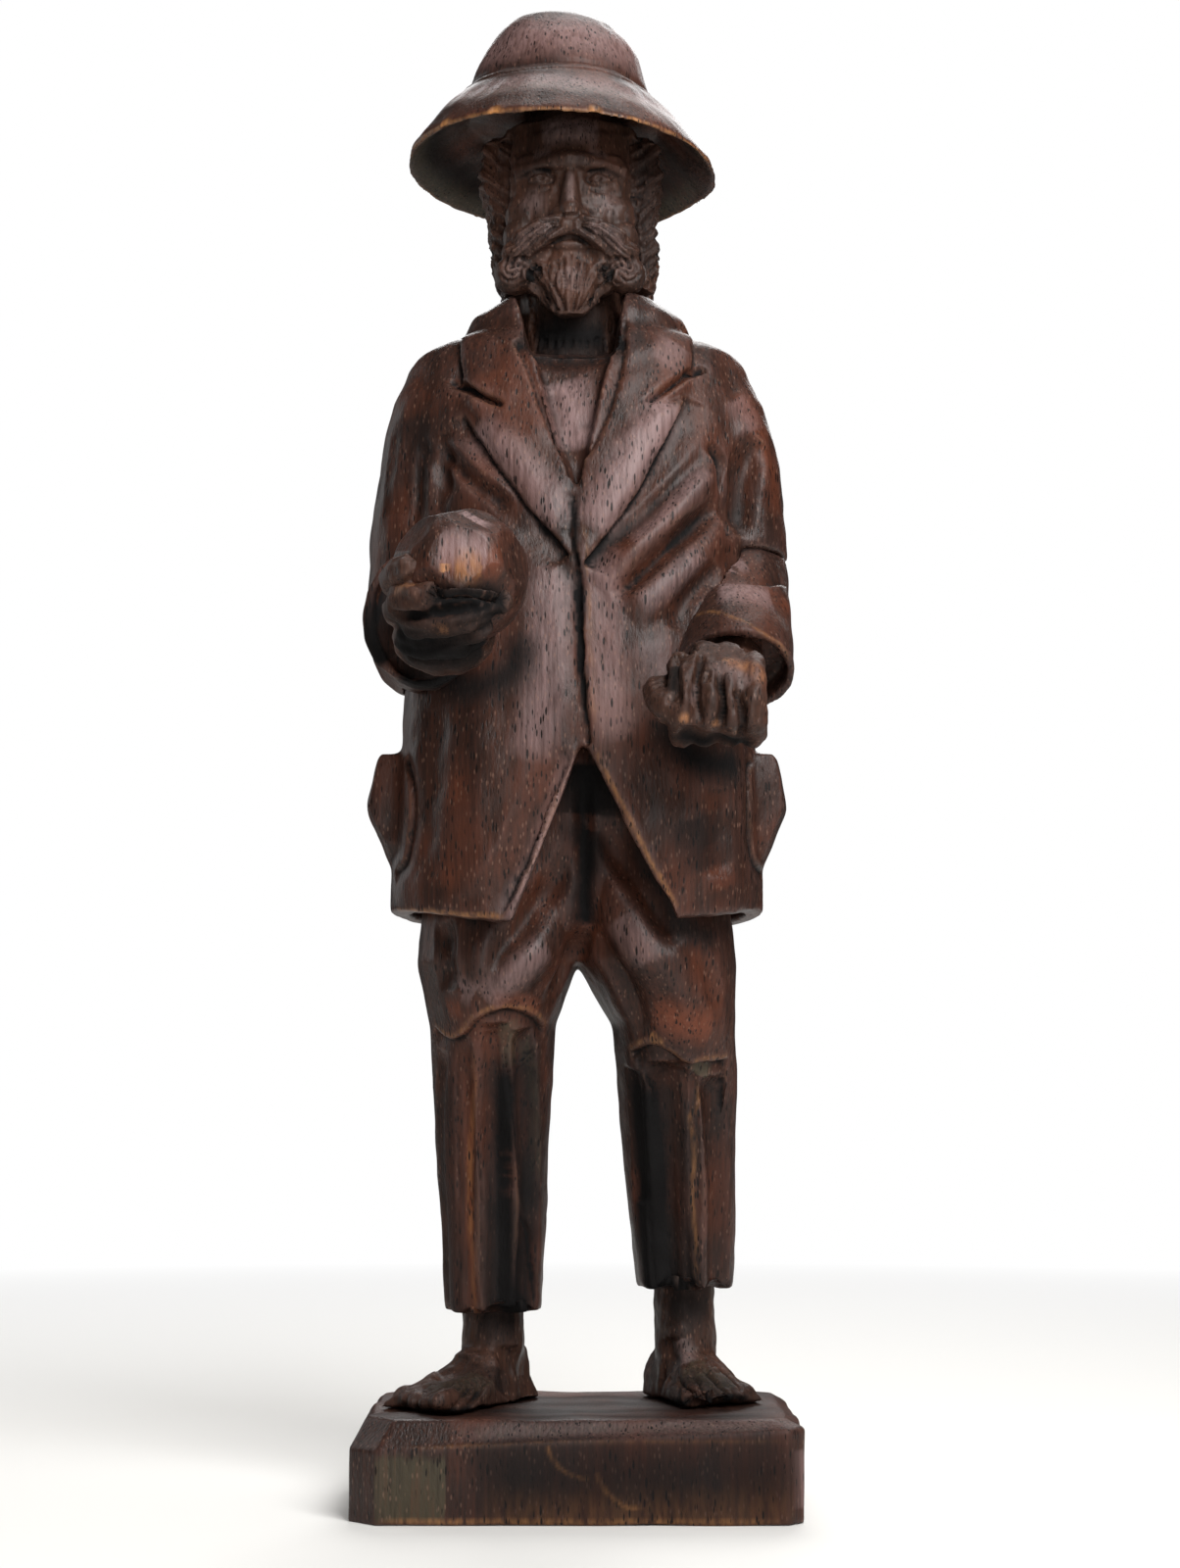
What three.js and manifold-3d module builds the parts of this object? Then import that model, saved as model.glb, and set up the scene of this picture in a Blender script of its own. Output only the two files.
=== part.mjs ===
// A carved hardwood figure: a bearded man in a brimmed hat, a long coat and trousers.
// It stands barefoot on a bevelled plinth, with a rough ball in one hand and the other hand closed.
// The carving is glued up from separate blocks, pegged together where it shows a seam or an undercut.
// Millimetres, +Z up. The origin is the middle of the plinth's underside and the figure faces -Y.
// Right and left are the figure's own, so the right arm is on the -X side.

import * as THREE from "three";
import { mergeVertices } from "three/addons/utils/BufferGeometryUtils.js";
import Module from "manifold-3d";

// Joints between the blocks
const GLUE_LINE = 0.3; // gap between two glued faces
const PEG_FIT = 0.3; // radial gap round a peg, and past each of its ends
const PEG_RADIUS = 4;
const SMALL_PEG_RADIUS = 2.5;
const LEG_DOWEL_RADIUS = 5;
const PEG_CHAMFER = 0.8;

// Plinth, hewn by hand: its top bevel runs deeper towards the figure's right
const PLINTH_WIDTH = 168;
const PLINTH_DEPTH = 106;
const PLINTH_HEIGHT = 37;
const PLINTH_BEVEL = 6;
const PLINTH_BEVEL_DROP = 7;
const PLINTH_BEVEL_SLOPE = 0.045;
const PLINTH_CORNER = 6;
const PLINTH_WIDE_CORNER = 11;

// Where the figure stands on the plinth
const BODY_SETBACK = 6;
const RIGHT_ANKLE_X = -33;
const RIGHT_ANKLE_Y = 10;
const LEFT_ANKLE_X = 43;
const LEFT_ANKLE_Y = 19;
const DOWEL_IN_PLINTH = 22;
const DOWEL_IN_TROUSERS = 40;

// Feet
const RIGHT_FOOT_LENGTH = 78;
const LEFT_FOOT_LENGTH = 64;
const FOOT_HALF_WIDTH = 18.5;
const HEEL_BEHIND_ANKLE = 22;
const ANKLE_HALF_WIDTH = 12.5;
const ANKLE_HALF_DEPTH = 14;
const ANKLE_IN_LEG = 10;
const INSTEP_HEIGHT = 27;
const TOE_HEIGHT = 7;
const BIG_TOE_RADIUS = 5;
const SMALL_TOE_RADIUS = 3.9;
const TOE_LENGTH = 9;
const RIGHT_TURN_OUT = 34;
const LEFT_TURN_OUT = 24;

// Trousers: heights are above the plinth's top
const RIGHT_HEM_RISE = 35;
const LEFT_HEM_RISE = 43;
const TROUSER_HEM_HALF_WIDTH = 19.5;
const TROUSER_HEM_HALF_DEPTH = 23;
const KNEE_RISE = 122;
const KNEE_HALF_WIDTH = 24;
const KNEE_HALF_DEPTH = 27;
const LEG_SPREAD_ABOVE_KNEE = 0.6;
const THIGH_HALF_WIDTH = 32;
const THIGH_HALF_DEPTH = 37.5;
const THIGH_X = 31.8;
const CROTCH_DROP = 13; // below the coat's hem
const SEAT_HALF_WIDTH = 60;
const SEAT_FRONT = 31;
const SEAT_BACK = 36;
const RIGHT_KNEE_X = -34;
const LEFT_KNEE_X = 40;

// Coat: heights are above its hem
const COAT_HEM_RISE = 184;
const COAT_HEM_LIFT = 6;
const HEM_HALF_WIDTH = 75;
const WAIST_HALF_WIDTH = 69;
const CHEST_HALF_WIDTH = 69;
const ARMHOLE_HALF_WIDTH = 75;
const SHOULDER_HALF_WIDTH = 71;
const SHOULDER_TOP_HALF_WIDTH = 57;
const COLLAR_HALF_WIDTH = 31;
const COAT_FRONT = 49;
const BELLY = 8; // how far the front swells out at the button
const COAT_BACK = 45;
const COLLAR_FRONT = 27;
const COLLAR_BACK = 30;
const COLLAR_FALL = 2.5;
const WAIST_HEIGHT = 105;
const CHEST_HEIGHT = 150;
const ARMHOLE_HEIGHT = 210;
const SHOULDER_HEIGHT = 229;
const SHOULDER_TOP_HEIGHT = 239.5;
const COLLAR_HEIGHT = 258;
const SKIRT_WALL = 8;
const SKIRT_DEPTH = 78;
const BUTTON_HEIGHT = 69;
const BUTTON_X = 2.5;
const RIGHT_PANEL_CORNER = -25;
const LEFT_PANEL_CORNER = 39.5;
const OPENING_HEIGHT = 168;
const NECKLINE_HEIGHT = 232;
const CHEST_RECESS = 5;
const LAPEL_RAISE = 2.2;
const LAPEL_TIP_HEIGHT = 136;
const RIGHT_LAPEL_NECK_X = -26;
const LEFT_LAPEL_NECK_X = 20;
const NOTCH_X = 43.5;
const NOTCH_HEIGHT = 209;
const NOTCH_DEPTH = 16;
const NOTCH_WIDTH = 6;
const COLLAR_CORNER_X = 46.5;
const COLLAR_CORNER_HEIGHT = 241.5;
const COLLAR_EDGE_X = 43.5;
const COLLAR_EDGE_HEIGHT = 250;
const BACK_COLLAR_FALL = 34;
const SEAM_WIDTH = 1.6;
const SEAM_DEPTH = 2;
const POCKET_BULGE = 11.5;
const POCKET_BOTTOM = 25;
const POCKET_TOP = 69;
const POCKET_HALF_LENGTH = 25;
const WAIST_PEG_X = 34;
const WAIST_PEG_DEPTH = 24;

// Sleeves: the upper arms belong to the coat, the forearms are blocks of their own
const ARM_TOP_HEIGHT = 233;
const ARM_OUTER_TOP = 68;
const ARM_OUTER_ELBOW = 86;
const ARM_INNER = 42;
const ARM_FRONT = 27;
const ARM_BACK = 30;
const RIGHT_ARM_END = 128;
const LEFT_ARM_END = 152;
const RIGHT_ELBOW = new THREE.Vector3(-62, 12, 120);
const RIGHT_CUFF = new THREE.Vector3(-58, -62, 116);
const LEFT_ELBOW = new THREE.Vector3(64, 2.5, 150);
const LEFT_CUFF = new THREE.Vector3(61, -51, 96);
const ELBOW_HALF_WIDTH = 22;
const RIGHT_ELBOW_HALF_HEIGHT = 25;
const LEFT_ELBOW_HALF_HEIGHT = 20;
const CUFF_HALF_WIDTH = 23.5;
const RIGHT_CUFF_HALF_HEIGHT = 28;
const LEFT_CUFF_HALF_HEIGHT = 20;
const ELBOW_ROUNDING = 15;
const CUFF_WALL = 3.5;
const CUFF_DEPTH = 10;
const ELBOW_PEG_LENGTH = 34;
const WRIST_PEG_LENGTH = 20;
const WRIST_PEG_OUTSET = 5;

// Hands and the ball, each placed from the middle of a cuff
const WRIST_RADIUS = 12;
const FINGER_RADIUS = 5.2;
const CUPPED_FINGER_RADIUS = 6.4;
const FINGER_ROWS = [-27, -50, -76]; // degrees below the ball's middle
const FINGER_SWEEP = [165, 205, 250, 295, 326]; // degrees round the ball
const THUMB_SWEEP = [150, 185, 215, 238];
const THUMB_RADIUS = 5.8;
const BALL_WIDTH = 46;
const BALL_DEPTH = 43;
const BALL_HEIGHT = 48;
const BALL_FROM_CUFF = new THREE.Vector3(16, -47, 4);
const BALL_FACETS = 9;
const BALL_PEG_LENGTH = 16;
const FIST_WIDTH = 37;
const FIST_HEIGHT = 36;
const FIST_FROM_CUFF = new THREE.Vector3(-9, -32, -17);

// Head: heights are above the coat's collar
const HEAD_SHIFT = -3;
const HEAD_BACK = 2;
const NECK_RADIUS = 21.5;
const NECK_IN_COAT = 25;
const NECK_PEG_LENGTH = 40;
const HEAD_HEIGHT = 90;
const CHIN_HEIGHT = 2;
const SKULL_HALF_WIDTH = 30;
const SKULL_HALF_DEPTH = 36;
const JAW_HALF_WIDTH = 21;
const NOSE_LENGTH = 9;
const BROW_REACH = 22;
const BROW_BEND = 9;
const BROW_RISE = 6.6;
const BROW_RADIUS = 4.2;
const HAIR_HALF_WIDTH = 39;
const LOCK_RADIUS = 9;
const RIGHT_LOCK_DRAWN_IN = 7;
const LEFT_LOCK_DRAWN_IN = 0.5;
const BEARD_DROP = 14;
const BEARD_HALF_WIDTH = 15;
const MOUSTACHE_REACH = 21;
const MOUSTACHE_RADIUS = 7;

// Hat: heights are above the brim's edge
const RIM_HEIGHT = 60; // above the coat's collar
const HAT_TILT = 2.6;
const HAT_SHIFT = -4;
const RIM_RADIUS = 65;
const BRIM_EDGE = 3;
const CROWN_RADIUS = 39.5;
const CROWN_SHIFT = -2; // the crown stands a little off the middle of the brim
const CROWN_FOOT_HEIGHT = 31;
const CROWN_TOP_RADIUS = 26;
const CROWN_HEIGHT = 67.4;
const CROWN_DOME = 7;
const HAT_CEILING = 23;
const HAT_MOUTH_RADIUS = 40;
const BRIM_SWELL = 3.6;
const HAT_PEG_LENGTH = 32;

// How finely the round forms are cut
const COAT_POINTS = 28;
const COAT_PITCH = 24;
const LEG_POINTS = 18;
const LIMB_PITCH = 26;
const FOOT_PITCH = 11;
const LIMB_POINTS = 7;
const LATHE_POINTS = 30;
const PEG_POINTS = 8;
const SHORTEST_EDGE = 0.02;

const wasm = await Module();
wasm.setup();

// Solids, cuts and joins

function solid(geometry) {
  const bare = new THREE.BufferGeometry();
  bare.setAttribute("position", geometry.getAttribute("position"));
  bare.setIndex(geometry.index);
  const merged = mergeVertices(bare, 1e-4);
  const corners = [];
  const index = merged.index.array;
  for (let i = 0; i < index.length; i += 3) {
    const [a, b, c] = index.slice(i, i + 3);
    if (a !== b && b !== c && c !== a) corners.push(a, b, c);
  }
  const made = (triangles) =>
    new wasm.Manifold(
      new wasm.Mesh({
        numProp: 3,
        vertProperties: new Float32Array(merged.attributes.position.array),
        triVerts: new Uint32Array(triangles),
      }),
    );
  const first = made(corners);
  return first.volume() > 0 ? first : made(corners.reverse());
}

// Closes the tiny edges that a cut can leave, so that no sliver is thinner than SHORTEST_EDGE.
function geometryOf(shape) {
  const mesh = shape.getMesh();
  const places = new THREE.BufferAttribute(mesh.vertProperties, 3);
  const corner = (i) => new THREE.Vector3().fromBufferAttribute(places, i);
  const same = Uint32Array.from({ length: places.count }, (_, i) => i);
  const kept = (i) => (same[i] === i ? i : kept(same[i]));
  const triangles = mesh.triVerts;
  for (let i = 0; i < triangles.length; i++) {
    const a = kept(triangles[i]);
    const b = kept(triangles[i % 3 === 2 ? i - 2 : i + 1]);
    if (corner(a).distanceTo(corner(b)) < SHORTEST_EDGE) same[b] = a;
  }
  const faces = [];
  for (let i = 0; i < triangles.length; i += 3) {
    const [a, b, c] = triangles.slice(i, i + 3).map((vertex) => kept(vertex));
    if (a !== b && b !== c && c !== a) faces.push(a, b, c);
  }
  const geometry = new THREE.BufferGeometry();
  geometry.setAttribute("position", places);
  geometry.setIndex(faces);
  geometry.computeVertexNormals();
  return geometry;
}

const join = (...shapes) => shapes.reduce((all, shape) => all.add(shape));
const cut = (shape, ...tools) => tools.reduce((left, tool) => left.subtract(tool), shape);

// Skins equal rings of points into one closed geometry, with a flat fan over each end.
function loft(rings) {
  const count = rings[0].length;
  const points = rings.flat();
  const faces = [];
  for (let ring = 0; ring < rings.length - 1; ring++) {
    for (let i = 0; i < count; i++) {
      const next = (i + 1) % count;
      const low = ring * count;
      const high = low + count;
      faces.push(low + i, low + next, high + next, low + i, high + next, high + i);
    }
  }
  const middle = (ring) =>
    ring.reduce((sum, p) => sum.add(p), new THREE.Vector3()).divideScalar(count);
  points.push(middle(rings[0]), middle(rings.at(-1)));
  const top = (rings.length - 1) * count;
  for (let i = 0; i < count; i++) {
    const next = (i + 1) % count;
    faces.push(points.length - 2, next, i, points.length - 1, top + i, top + next);
  }
  return new THREE.BufferGeometry().setFromPoints(points).setIndex(faces);
}

// Fills in a smooth run of sections between a few key ones, with no two further apart than pitch.
// Each section starts with its place along the run, and from and to can take a part of the run.
function smoothSections(keys, pitch, from = keys[0][0], to = keys.at(-1)[0]) {
  const size = keys[0].length - 1;
  const places = keys.map((key) => key[0]);
  const values = keys.flatMap((key) => key.slice(1));
  const curve = new THREE.CubicInterpolant(places, values, size, new Float32Array(size));
  const stops = [from, ...places.filter((place) => place > from && place < to), to];
  const between = stops.slice(1).flatMap((stop, i) => {
    const steps = Math.ceil((stop - stops[i]) / pitch);
    return Array.from({ length: steps }, (_, k) => THREE.MathUtils.lerp(stops[i], stop, (k + 1) / steps));
  });
  return [from, ...between].map((place) => [place, ...curve.evaluate(place)]);
}

// A level oval that fills a box from left to right and front to back. Squareness 2 is an ellipse.
function ovalRing(z, left, right, front, back, squareness, count) {
  const power = 2 / squareness;
  return Array.from({ length: count }, (_, i) => {
    const turn = (i / count) * 2 * Math.PI;
    const across = Math.sign(Math.cos(turn)) * Math.abs(Math.cos(turn)) ** power;
    const along = Math.sign(Math.sin(turn)) * Math.abs(Math.sin(turn)) ** power;
    const x = (left + right) / 2 + ((right - left) / 2) * across;
    const y = (front + back) / 2 + ((back - front) / 2) * along;
    return new THREE.Vector3(x, y, z);
  });
}

// A round limb that follows a smooth path, with its radius given along it from 0 to 1.
function limb(points, radius, steps, flatness = 1) {
  const path = new THREE.CatmullRomCurve3(points);
  const frames = path.computeFrenetFrames(steps);
  return loft(
    Array.from({ length: steps + 1 }, (_, step) => {
      const centre = path.getPointAt(step / steps);
      return Array.from({ length: LIMB_POINTS }, (_, i) => {
        const turn = (i / LIMB_POINTS) * 2 * Math.PI;
        const reach = radius(step / steps);
        return centre
          .clone()
          .addScaledVector(frames.normals[step], Math.cos(turn) * reach)
          .addScaledVector(frames.binormals[step], Math.sin(turn) * reach * flatness);
      });
    }),
  );
}

// The radius of a finger-like limb, full along most of its length and rounded off at its end.
const roundTipped = (radius, tip) => (share) =>
  share < 1 - tip ? radius : radius * Math.sqrt(Math.max(0.12, 1 - ((share - 1 + tip) / tip) ** 2));

function ellipsoid(centre, radii, across = 12, up = 8) {
  return new THREE.SphereGeometry(1, across, up)
    .rotateX(Math.PI / 2)
    .scale(radii.x, radii.y, radii.z)
    .translate(centre.x, centre.y, centre.z);
}

// An outline drawn in the front view, as [x, z] pairs, run through from one depth to another.
function frontPrism(outline, from, to) {
  const shape = new THREE.Shape(outline.map(([x, z]) => new THREE.Vector2(x, z)));
  return new THREE.ExtrudeGeometry(shape, { depth: to - from, bevelEnabled: false })
    .rotateX(Math.PI / 2)
    .translate(0, to, 0);
}

// A turned peg from one point to another, with its ends eased. Grown by PEG_FIT it is the peg's hole.
function peg(from, to, radius, grow = 0) {
  const along = new THREE.Vector3().subVectors(to, from);
  const reach = radius + grow;
  const length = along.length() + 2 * grow;
  const ease = grow ? 0 : PEG_CHAMFER;
  const profile = [
    [0, 0],
    [reach - ease, 0],
    [reach, ease],
    [reach, length - ease],
    [reach - ease, length],
    [0, length],
  ].map(([x, y]) => new THREE.Vector2(x, y));
  const turned = new THREE.Quaternion().setFromUnitVectors(
    new THREE.Vector3(0, 1, 0),
    along.clone().normalize(),
  );
  return new THREE.LatheGeometry(profile, PEG_POINTS)
    .translate(0, -grow, 0)
    .applyQuaternion(turned)
    .translate(from.x, from.y, from.z);
}

const point = (x, y, z) => new THREE.Vector3(x, y, z);

// Finishes: one open-grained hardwood under a dark stain, and the paler wood of the pegs
const stainedWood = new THREE.MeshStandardMaterial({ color: 0x4a2c20, roughness: 0.45, metalness: 0 });
const darkWood = new THREE.MeshStandardMaterial({ color: 0x3a241c, roughness: 0.5, metalness: 0 });
const pegWood = new THREE.MeshStandardMaterial({ color: 0xa07a4e, roughness: 0.7, metalness: 0 });

function piece(name, shape, material) {
  const mesh = new THREE.Mesh(geometryOf(shape), material);
  mesh.name = name;
  return mesh;
}

// Frames: the figure stands on the plinth, the coat hangs above the trousers, the head sits in the collar
const figure = new THREE.Group();
const standing = new THREE.Group();
standing.position.set(0, BODY_SETBACK, PLINTH_HEIGHT);
const coat = new THREE.Group();
coat.position.set(0, 0, COAT_HEM_RISE);
const head = new THREE.Group();
head.position.set(HEAD_SHIFT, HEAD_BACK, COLLAR_HEIGHT);
const hat = new THREE.Group();
hat.position.set(HAT_SHIFT, 0, RIM_HEIGHT);
hat.rotation.y = THREE.MathUtils.degToRad(HAT_TILT);
head.updateMatrix();
hat.updateMatrix();
figure.add(standing);
standing.add(coat);
coat.add(head);
head.add(hat);

const LEGS = [
  {
    side: "right",
    ankle: point(RIGHT_ANKLE_X, RIGHT_ANKLE_Y, 0),
    turnOut: -RIGHT_TURN_OUT,
    footLength: RIGHT_FOOT_LENGTH,
    hem: RIGHT_HEM_RISE,
    knee: RIGHT_KNEE_X,
    thigh: -THIGH_X,
  },
  {
    side: "left",
    ankle: point(LEFT_ANKLE_X, LEFT_ANKLE_Y, 0),
    turnOut: LEFT_TURN_OUT,
    footLength: LEFT_FOOT_LENGTH,
    hem: LEFT_HEM_RISE,
    knee: LEFT_KNEE_X,
    thigh: THIGH_X,
  },
];

// Each leg is held by one dowel that runs from the plinth up through the foot into the trousers.
const dowelFoot = (leg) => leg.ankle.clone().setZ(-DOWEL_IN_PLINTH);
const dowelHead = (leg) => leg.ankle.clone().setZ(leg.hem + DOWEL_IN_TROUSERS);
const legDowel = (leg, grow) => peg(dowelFoot(leg), dowelHead(leg), LEG_DOWEL_RADIUS, grow);

// Plinth: a hewn block with its upright corners cut off and its top edges bevelled
function plinthSolid() {
  const outline = (inset) => {
    const x = PLINTH_WIDTH / 2 - inset;
    const y = PLINTH_DEPTH / 2 - inset;
    const small = PLINTH_CORNER;
    const wide = PLINTH_WIDE_CORNER;
    return [
      [x, -y + small],
      [x, y - small],
      [x - small, y],
      [-x + small, y],
      [-x, y - small],
      [-x, -y + wide],
      [-x + wide, -y],
      [x - small, -y],
    ];
  };
  const shoulder = (x) => PLINTH_HEIGHT - PLINTH_BEVEL_DROP + PLINTH_BEVEL_SLOPE * x;
  const block = loft([
    outline(0).map(([x, y]) => point(x, y, 0)),
    outline(0).map(([x, y]) => point(x, y, shoulder(x))),
    outline(PLINTH_BEVEL).map(([x, y]) => point(x, y, PLINTH_HEIGHT)),
  ]);
  const holes = LEGS.map((leg) =>
    solid(legDowel(leg, PEG_FIT).translate(0, BODY_SETBACK, PLINTH_HEIGHT)),
  );
  return cut(solid(block), ...holes);
}

// Feet: a flat-soled wedge that rises to the instep, with toes and an ankle that enters the trouser leg
function footSolid(leg) {
  const heel = HEEL_BEHIND_ANKLE;
  const sections = smoothSections(
    [
      [-heel, 0.55 * ANKLE_HALF_WIDTH, 0.4 * INSTEP_HEIGHT],
      [-0.6 * heel, ANKLE_HALF_WIDTH, 0.85 * INSTEP_HEIGHT],
      [0, 1.02 * ANKLE_HALF_WIDTH, INSTEP_HEIGHT],
      [0.45 * (leg.footLength - heel), 0.9 * FOOT_HALF_WIDTH, 0.55 * INSTEP_HEIGHT],
      [leg.footLength - heel - TOE_LENGTH, FOOT_HALF_WIDTH, TOE_HEIGHT],
    ],
    FOOT_PITCH,
  );
  const rings = sections.map(([along, half, height]) =>
    Array.from({ length: LEG_POINTS }, (_, i) => {
      const turn = (i / LEG_POINTS) * 2 * Math.PI;
      const z = GLUE_LINE + height * Math.max(0, Math.sin(turn));
      return point(half * Math.cos(turn), -along, z);
    }),
  );
  const ankle = smoothSections(
    [
      [TOE_HEIGHT, ANKLE_HALF_WIDTH, ANKLE_HALF_DEPTH],
      [INSTEP_HEIGHT, 0.95 * ANKLE_HALF_WIDTH, 0.95 * ANKLE_HALF_DEPTH],
      [leg.hem + ANKLE_IN_LEG - GLUE_LINE, 0.95 * ANKLE_HALF_WIDTH, 0.9 * ANKLE_HALF_DEPTH],
    ],
    LIMB_PITCH,
  ).map(([z, x, y]) => ovalRing(z, -x, x, -y, y, 2, LEG_POINTS));
  const outward = Math.sign(leg.turnOut);
  const tips = Array.from({ length: 5 }, (_, i) => {
    const radius = i ? SMALL_TOE_RADIUS : BIG_TOE_RADIUS;
    const spread = -FOOT_HALF_WIDTH + BIG_TOE_RADIUS + (i * 2 * (FOOT_HALF_WIDTH - BIG_TOE_RADIUS)) / 4;
    const forward = leg.footLength - heel - TOE_LENGTH + 1.5 - 0.7 * i * i;
    const centre = point(outward * spread, -forward, GLUE_LINE + radius);
    return solid(ellipsoid(centre, point(radius, TOE_LENGTH, radius), 8, 6));
  });
  const foot = geometryOf(join(solid(loft(rings)), solid(loft(ankle)), ...tips))
    .rotateZ(THREE.MathUtils.degToRad(leg.turnOut))
    .translate(leg.ankle.x, leg.ankle.y, 0);
  return cut(solid(foot), solid(legDowel(leg, PEG_FIT)));
}

// The torso's outer skin, swollen or shrunk by grow, which may change with height
function torso(grow = 0, top = COLLAR_HEIGHT, bottom = 0) {
  const swell = typeof grow === "function" ? grow : () => grow;
  const roundHeight = 0.4 * SHOULDER_HEIGHT + 0.6 * SHOULDER_TOP_HEIGHT;
  const roundHalfWidth = 0.3 * SHOULDER_TOP_HALF_WIDTH + 0.7 * SHOULDER_HALF_WIDTH;
  const keys = [
    [0, HEM_HALF_WIDTH, COAT_FRONT + 0.6 * BELLY, COAT_BACK + 2],
    [0.45 * WAIST_HEIGHT, HEM_HALF_WIDTH - 2, COAT_FRONT + BELLY, COAT_BACK],
    [WAIST_HEIGHT, WAIST_HALF_WIDTH, COAT_FRONT + 0.8 * BELLY, COAT_BACK - 2],
    [CHEST_HEIGHT, CHEST_HALF_WIDTH, COAT_FRONT + 1, COAT_BACK - 1],
    [ARMHOLE_HEIGHT, ARMHOLE_HALF_WIDTH, COAT_FRONT - 8, COAT_BACK - 2],
    [SHOULDER_HEIGHT, SHOULDER_HALF_WIDTH, COAT_FRONT - 13, COAT_BACK - 7],
    [roundHeight, roundHalfWidth, COAT_FRONT - 15, COAT_BACK - 9],
    [SHOULDER_TOP_HEIGHT, SHOULDER_TOP_HALF_WIDTH, COAT_FRONT - 17, COAT_BACK - 10],
    [COLLAR_CORNER_HEIGHT, COLLAR_CORNER_X, COAT_FRONT - 18, COAT_BACK - 10.5],
    [COLLAR_EDGE_HEIGHT, COLLAR_EDGE_X, COLLAR_FRONT + COLLAR_FALL, COLLAR_BACK + COLLAR_FALL],
    [COLLAR_HEIGHT, COLLAR_HALF_WIDTH, COLLAR_FRONT, COLLAR_BACK],
  ];
  const rings = smoothSections(keys, COAT_PITCH, bottom, top).map(([z, half, front, back]) => {
    const g = swell(z);
    return ovalRing(z, -half - g, half + g, -front - g, back + g, 2.5, COAT_POINTS);
  });
  return loft(rings);
}

// An upper arm of the coat, hanging from the shoulder to a flat end at the elbow
function upperArm(arm, grow = 0) {
  const side = arm.sign;
  const keys = [
    [arm.end, ARM_OUTER_ELBOW, ARM_FRONT - 2, ARM_BACK],
    [0.7 * arm.end + 0.3 * ARM_TOP_HEIGHT, ARM_OUTER_ELBOW - 1, ARM_FRONT, ARM_BACK],
    [0.45 * arm.end + 0.55 * ARM_TOP_HEIGHT, ARM_OUTER_ELBOW - 4.5, ARM_FRONT + 1, ARM_BACK + 1],
    [ARM_TOP_HEIGHT - 18, ARM_OUTER_ELBOW - 10, ARM_FRONT - 1, ARM_BACK - 2],
    [ARM_TOP_HEIGHT, ARM_OUTER_TOP, ARM_FRONT - 9, ARM_BACK - 9],
  ];
  const rings = smoothSections(keys, LIMB_PITCH).map(([z, outer, front, back], i) => {
    const reach = [side * (ARM_INNER - grow), side * (outer + grow)].sort((a, b) => a - b);
    const height = i ? z : z - grow;
    return ovalRing(height, ...reach, -front - grow, back + grow, 2.4, LEG_POINTS);
  });
  return loft(rings);
}

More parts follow.
